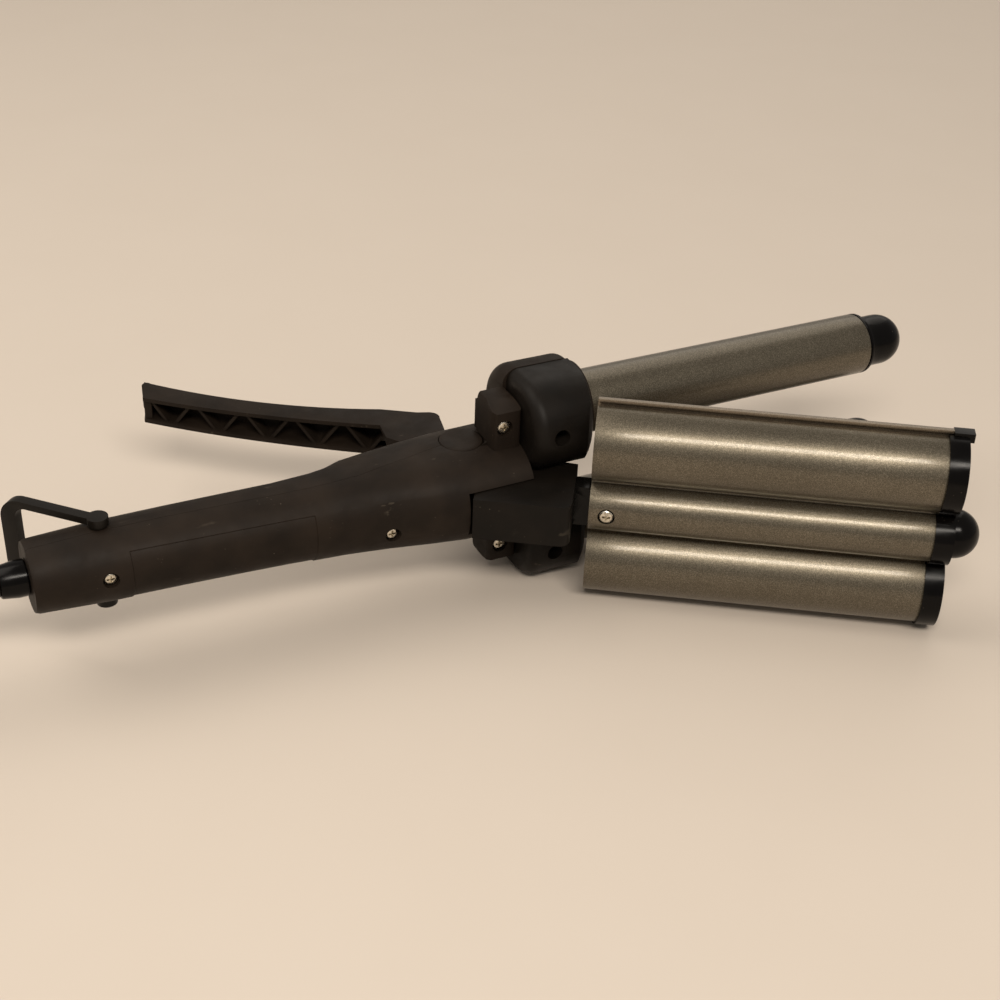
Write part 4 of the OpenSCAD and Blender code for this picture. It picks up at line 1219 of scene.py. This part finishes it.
@dataclass
class Outlet(Assembly):
    """The turning strain relief.

    Attributes:
        rear: Rear end of the handle.
        length: Length of the relief outside it.
        radius: Radius where it leaves the handle.
        cord_r: Radius of the cord.
        rings: Number of grooves that let it bend.
        wall: Thickness of the handle's rear wall.
        flange: Width of the flange that holds it inside.
        groove: One groove: places along it, and depths.
    """

    rear: float = -158.0
    length: float = 36.0
    radius: float = 6.4
    cord_r: float = 3.25
    rings: int = 5
    wall: float = 2.4
    flange: float = 2.2
    groove: tuple[Point, ...] = ((0, 0), (0.4, 0.15), (0.7, 0.75), (1.5, 0.75), (1.8, 0.15),
                                 (2.2, 0))

    def build(self) -> None:
        """Makes the relief, from its inner flange out to its thin end."""
        inner = self.rear + self.wall
        neck = self.radius - 1.2
        rim = neck + self.flange
        tip, collar, shoulder = self.rear - self.length, self.rear - 4, self.rear - 10
        drop, end_r = 0.9, self.cord_r + 1.2
        outline = [(inner + self.flange, 0.0), (inner + self.flange, rim), (inner + 0.2, rim),
                   (inner + 0.2, neck), (self.rear - 0.3, neck),
                   (self.rear - 0.3, self.radius - 0.3), (self.rear - 0.6, self.radius),
                   (collar, self.radius)]
        start = shoulder + 1
        step = (start - tip - 5) / self.rings

        def radius_at(x: float) -> float:
            """Radius of the relief's outer line at a place along it."""
            if x > shoulder:
                return self.radius - drop * (collar - x) / (collar - shoulder)
            share = (shoulder - x) / (shoulder - tip)
            return self.radius - drop + (end_r - self.radius + drop) * share

        for i in range(self.rings):
            a = start - i * step
            for off, deep in self.groove:
                outline.append((a - off, radius_at(a - off) - deep))
        outline += [(tip + 0.5, end_r), (tip, end_r - 0.5), (tip, 0.0)]
        relief = Bench.turned("strain_relief", outline, (0, 0, 0), Axis.X, 48)
        self.place(relief, Finish.BLACK, "cord_swivel", angle=35)


@dataclass
class Cord(Assembly):
    """The mains cord: a short lead, a round coil with its tie, and the plug.

    Attributes:
        diameter: The cord's diameter.
        lead: Points from the strain relief to the coil.
        centre: The coil's centre on the floor.
        radii: Radii of its turns, outer first.
        join_radius: Radius at which the lead joins it.
        climbs: Starts and ends of its steps up by one diameter, in turns.
        first_angle: Where the lead joins it, in degrees.
        exit_turns: Turns made before the cord leaves for the plug.
        knots_per_turn: Number of knots of its route on each turn.
        exit_steps: Number of chords from the coil to the plug.
        spacing: Distance of the route's points.
        plug_at: The plug's cord end.
        grips: Number of grip ribs on each side of the plug.
        grip_pitch: Distance between them.
        neck_rings: Number of grooves round the plug's neck.
        ring_pitch: Distance between them.
    """

    diameter: float = 6.5
    lead: tuple[Point3, ...] = (
        (-194, 0, 40.8), (-201, 0, 40.8), (-209, 0, 39.8), (-216, -0.2, 36.5),
        (-224, -0.4, 31.2), (-232, -0.7, 24.5), (-240, -1, 17.5), (-248, -1.2, 11),
        (-256, -1.4, 6.5), (-264, -1.6, 4), (-272, -2, 3.25), (-281, -3, 3.25),
        (-290, -5.6, 3.25), (-298, -9.8, 3.25), (-305, -15.6, 3.25),
        (-310.5, -22.8, 3.25), (-314, -31, 3.25), (-315, -40, 3.25))
    centre: Point = (-272.0, -49.3)
    radii: Point3 = (42.7, 36.1, 29.5)
    join_radius: float = 44.64
    climbs: tuple[Point, ...] = ((2.667, 2.833), (5.333, 5.5), (6.6, 6.8))
    first_angle: float = 164.4
    exit_turns: float = 7.0433
    knots_per_turn: int = 48
    exit_steps: int = 8
    spacing: float = 2.0
    plug_at: Point3 = (-287.0, -77.3, 27.7)
    grips: int = 4
    grip_pitch: float = 3.2
    neck_rings: int = 3
    ring_pitch: float = 4.0

    def ring(self, turns: float) -> Point3:
        """A point of the coil.

        Args:
            turns: Turns made since the lead joined it.

        Returns:
            The point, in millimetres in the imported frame.
        """
        outer, middle, inner = self.radii
        shifts = ((0.0, 0.17, self.join_radius, outer), (0.833, 1.0, outer, middle),
                  (1.833, 2.0, middle, inner), (3.5, 3.667, inner, middle),
                  (4.5, 4.667, middle, outer), (6.1, 6.267, outer, middle),
                  (6.8, 6.95, middle, outer))
        radius = self.join_radius
        for start, end, before, after in shifts:
            if turns >= start:
                radius = before + (after - before) * ease((turns - start) / (end - start))
        height = self.diameter / 2
        for start, end in self.climbs:
            height += self.diameter * ease((turns - start) / (end - start))
        angle = math.radians(self.first_angle + 360 * turns)
        return (self.centre[0] + radius * math.cos(angle),
                self.centre[1] + radius * math.sin(angle), height)

    def route(self) -> list[Vector]:
        """The cord's whole route.

        Returns:
            Evenly spaced points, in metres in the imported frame.
        """
        knots = [Vector((x, y + HINGE_Y, z)) for x, y, z in self.lead]
        turns = 0.03
        while turns < self.exit_turns:
            knots.append(Vector(self.ring(turns)))
            turns += 1 / self.knots_per_turn
        last = Vector(self.ring(self.exit_turns))
        end = Vector(self.plug_at)
        across, along = end.x - last.x, last.y - end.y
        for i in range(self.exit_steps + 1):
            angle = math.pi / 2 * i / self.exit_steps
            rise = ease(i / self.exit_steps)
            knots.append(Vector((last.x + across * (1 - math.cos(angle)),
                                 last.y - along * math.sin(angle),
                                 last.z + (end.z - last.z) * rise)))
        knots.append(end + Vector((1.5, 0, 0)))
        points: list[Vector] = []
        for i in range(len(knots) - 1):
            a, b = knots[max(i - 1, 0)], knots[i]
            c, d = knots[i + 1], knots[min(i + 2, len(knots) - 1)]
            steps = max(1, round((c - b).length / self.spacing))
            for k in range(steps):
                t = k / steps
                points.append(0.5 * ((2 * b) + (c - a) * t
                                     + (2 * a - 5 * b + 4 * c - d) * t * t
                                     + (3 * b - a - 3 * c + d) * t ** 3) * MM)
        points.append(knots[-1] * MM)
        return points

    def wire(self, points: Sequence[Vector]) -> Object:
        """Makes the cord along its route.

        Args:
            points: The route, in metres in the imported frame.

        Returns:
            The cord.
        """
        curve = bpy.data.curves.new("mains_cord", "CURVE")
        curve.dimensions = "3D"
        spline = curve.splines.new("POLY")
        spline.points.add(len(points) - 1)
        for target, point in zip(spline.points, points):
            target.co = (*point, 1.0)
        curve.bevel_depth = self.diameter / 2 * MM
        curve.bevel_resolution = 5
        curve.use_fill_caps = True
        cord = bpy.data.objects.new("mains_cord", curve)
        bpy.context.scene.collection.objects.link(cord)
        return self.place(cord, Finish.CORD, "cord_lead", "cord_coil", drawn=False)

    def plug(self) -> Object:
        """Makes the plug: a rounded body with grip ribs and a flexible neck.

        Returns:
            The plug.
        """
        body = Bench.copy_node("plug_body", "plug_moulded")
        Bench.soften(body, 1.6, 3, 40)
        low, high = (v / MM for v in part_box("plug_body"))
        mid = (low + high) / 2
        for i in range(self.grips):
            x = high.x - 9 - i * self.grip_pitch
            for y in (low.y, high.y):
                tool = Bench.block("grip", (x - 0.7, y - 0.6, low.z + 2.5),
                                   (x + 0.7, y + 0.6, high.z - 2.5))
                Bench.cut(body, tool)
        for i in range(self.neck_rings):
            x = low.x + 3 + i * self.ring_pitch
            tool = Bench.turned("neck_groove", [(-0.6, 9), (-0.6, 4.6 + i * 0.5),
                                                (0.6, 4.6 + i * 0.5), (0.6, 9), (-0.6, 9)],
                                (x, mid.y, mid.z), Axis.X, 32)
            Bench.cut(body, tool)
        return self.place(body, Finish.BLACK, "plug_body", angle=34, drawn=False)

    def build(self) -> None:
        plug = self.plug()
        blades = self.skin("plug_blades", Finish.BLADE, 0.3, 34)
        tie = self.skin("cord_tie", Finish.TIE, 0.4, 34)
        points = self.route()
        cord = self.wire(points)


# ------------------------------------------------------------------ studio


@dataclass(frozen=True)
class Lamp:
    """A soft rectangular lamp.

    Attributes:
        name: Its name.
        place: Its place in metres.
        aim: The point it faces.
        size: Its width and height in metres.
        power: Its power in watts.
        colour: Its colour.
    """

    name: str
    place: Point3
    aim: Point3
    size: Point
    power: float
    colour: str = "fff6ea"

    def build(self) -> None:
        """Hangs the lamp."""
        light = bpy.data.lights.new(self.name, "AREA")
        light.shape = "RECTANGLE"
        light.size, light.size_y = self.size
        light.energy = self.power
        light.color = linear(self.colour)[:3]
        obj = bpy.data.objects.new(self.name, light)
        bpy.context.scene.collection.objects.link(obj)
        obj.location = self.place
        way = Vector(self.aim) - Vector(self.place)
        obj.rotation_euler = way.to_track_quat("-Z", "Y").to_euler()


@dataclass(frozen=True)
class Studio:
    """The camera, the pale floor and the lights.

    Attributes:
        lens: Focal length in millimetres.
        eye: The camera's place in metres.
        right: Its right-hand direction.
        up: Its upward direction.
        back: The direction away from its view.
        floor_colour: The floor's colour.
        floor_shade: The colour of its darker patches.
        sky: The colour of the light from all round.
        sky_power: Its strength.
        lamps: The lamps.
    """

    lens: float = 57.819
    eye: Point3 = (-0.216845, -0.452254, 0.355858)
    right: Point3 = (0.89883921, -0.43685232, 0.03532877)
    up: Point3 = (0.20961044, 0.49927015, 0.84070969)
    back: Point3 = (-0.38490458, -0.74825755, 0.5403324)
    floor_colour: str = "cec3b7"
    floor_shade: str = "c3b7a9"
    sky: str = "efe8df"
    sky_power: float = 0.4
    lamps: tuple[Lamp, ...] = (
        Lamp("ceiling_front", (-0.30, -0.95, 1.15), (0.05, -0.03, 0.04), (0.9, 0.26), 15.5),
        Lamp("ceiling_left", (-0.75, 0.45, 1.1), (0.0, 0.0, 0.03), (1.1, 1.1), 9.5),
        Lamp("ceiling_back", (0.75, 0.85, 1.0), (0.0, 0.0, 0.03), (1.2, 1.2), 4.0),
    )

    def camera(self) -> None:
        """Sets the camera."""
        data = bpy.data.cameras.new("camera")
        data.lens = self.lens
        data.sensor_width = 36
        obj = bpy.data.objects.new("camera", data)
        bpy.context.scene.collection.objects.link(obj)
        turn = Matrix((self.right, self.up, self.back)).transposed().to_4x4()
        turn.translation = Vector(self.eye)
        obj.matrix_world = turn
        bpy.context.scene.camera = obj

    def floor(self) -> None:
        """Lays the floor, with a faint cloudiness."""
        Bench.clear()
        bpy.ops.mesh.primitive_plane_add(size=30)
        obj = Bench.named("floor")
        graph = Graph("floor_finish")
        tone = graph.span(graph.noise(60, detail=3), (0.3, 0.7), (0.0, 0.1))
        colour = graph.mix(tone, linear(self.floor_colour), linear(self.floor_shade))
        fibre = graph.noise(2.5, detail=3, where=graph.stretch((1.0, 0.12, 1.0)))
        graph.dress(colour, graph.relief(fibre, 0.05, 0.2))
        graph.put(Roughness=0.7, Specular_IOR_Level=0.25)
        obj.data.materials.append(graph.material)

    def light(self) -> None:
        """Hangs the lamps and lights the sky."""
        for lamp in self.lamps:
            lamp.build()
        world = bpy.data.worlds.new("sky")
        world.use_nodes = True
        shade = world.node_tree.nodes["Background"]
        shade.inputs["Color"].default_value = linear(self.sky)
        shade.inputs["Strength"].default_value = self.sky_power
        bpy.context.scene.world = world
        bpy.context.scene.view_settings.view_transform = "Standard"

    def build(self) -> None:
        """Sets up the whole studio."""
        self.camera()
        self.floor()
        self.light()


def finish_hidden_nodes(palette: Palette) -> None:
    """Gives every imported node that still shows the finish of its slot.

    Args:
        palette: The finishes.
    """
    for name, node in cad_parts.items():
        for slot in node.material_slots:
            finish = palette.for_slot(slot.material.name.split(".")[0])
            slot.material = palette.material(finish)
            log.info("%s finished as %s", name, finish.value.slot)


def main() -> None:
    """Builds the studio and every sub-assembly in order."""
    logging.basicConfig(level=logging.INFO, format="%(message)s")
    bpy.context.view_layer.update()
    Studio().build()
    palette = Palette()
    finish_hidden_nodes(palette)
    assemblies: tuple[Assembly, ...] = (
        Cord(palette, "handle"),
        Barrels(palette, "handle"),
        Handle(palette, "handle"),
        Jaw(palette, "jaw_arm", ARM_AXES),
        Loop(palette, "loop"),
        HeatSwitch(palette, "heat_switch"),
        Outlet(palette, "cord_outlet"),
    )
    for assembly in assemblies:
        assembly.build()
        log.info("%s: %d pieces", type(assembly).__name__, len(assembly.made))


if __name__ == "__main__":
    main()
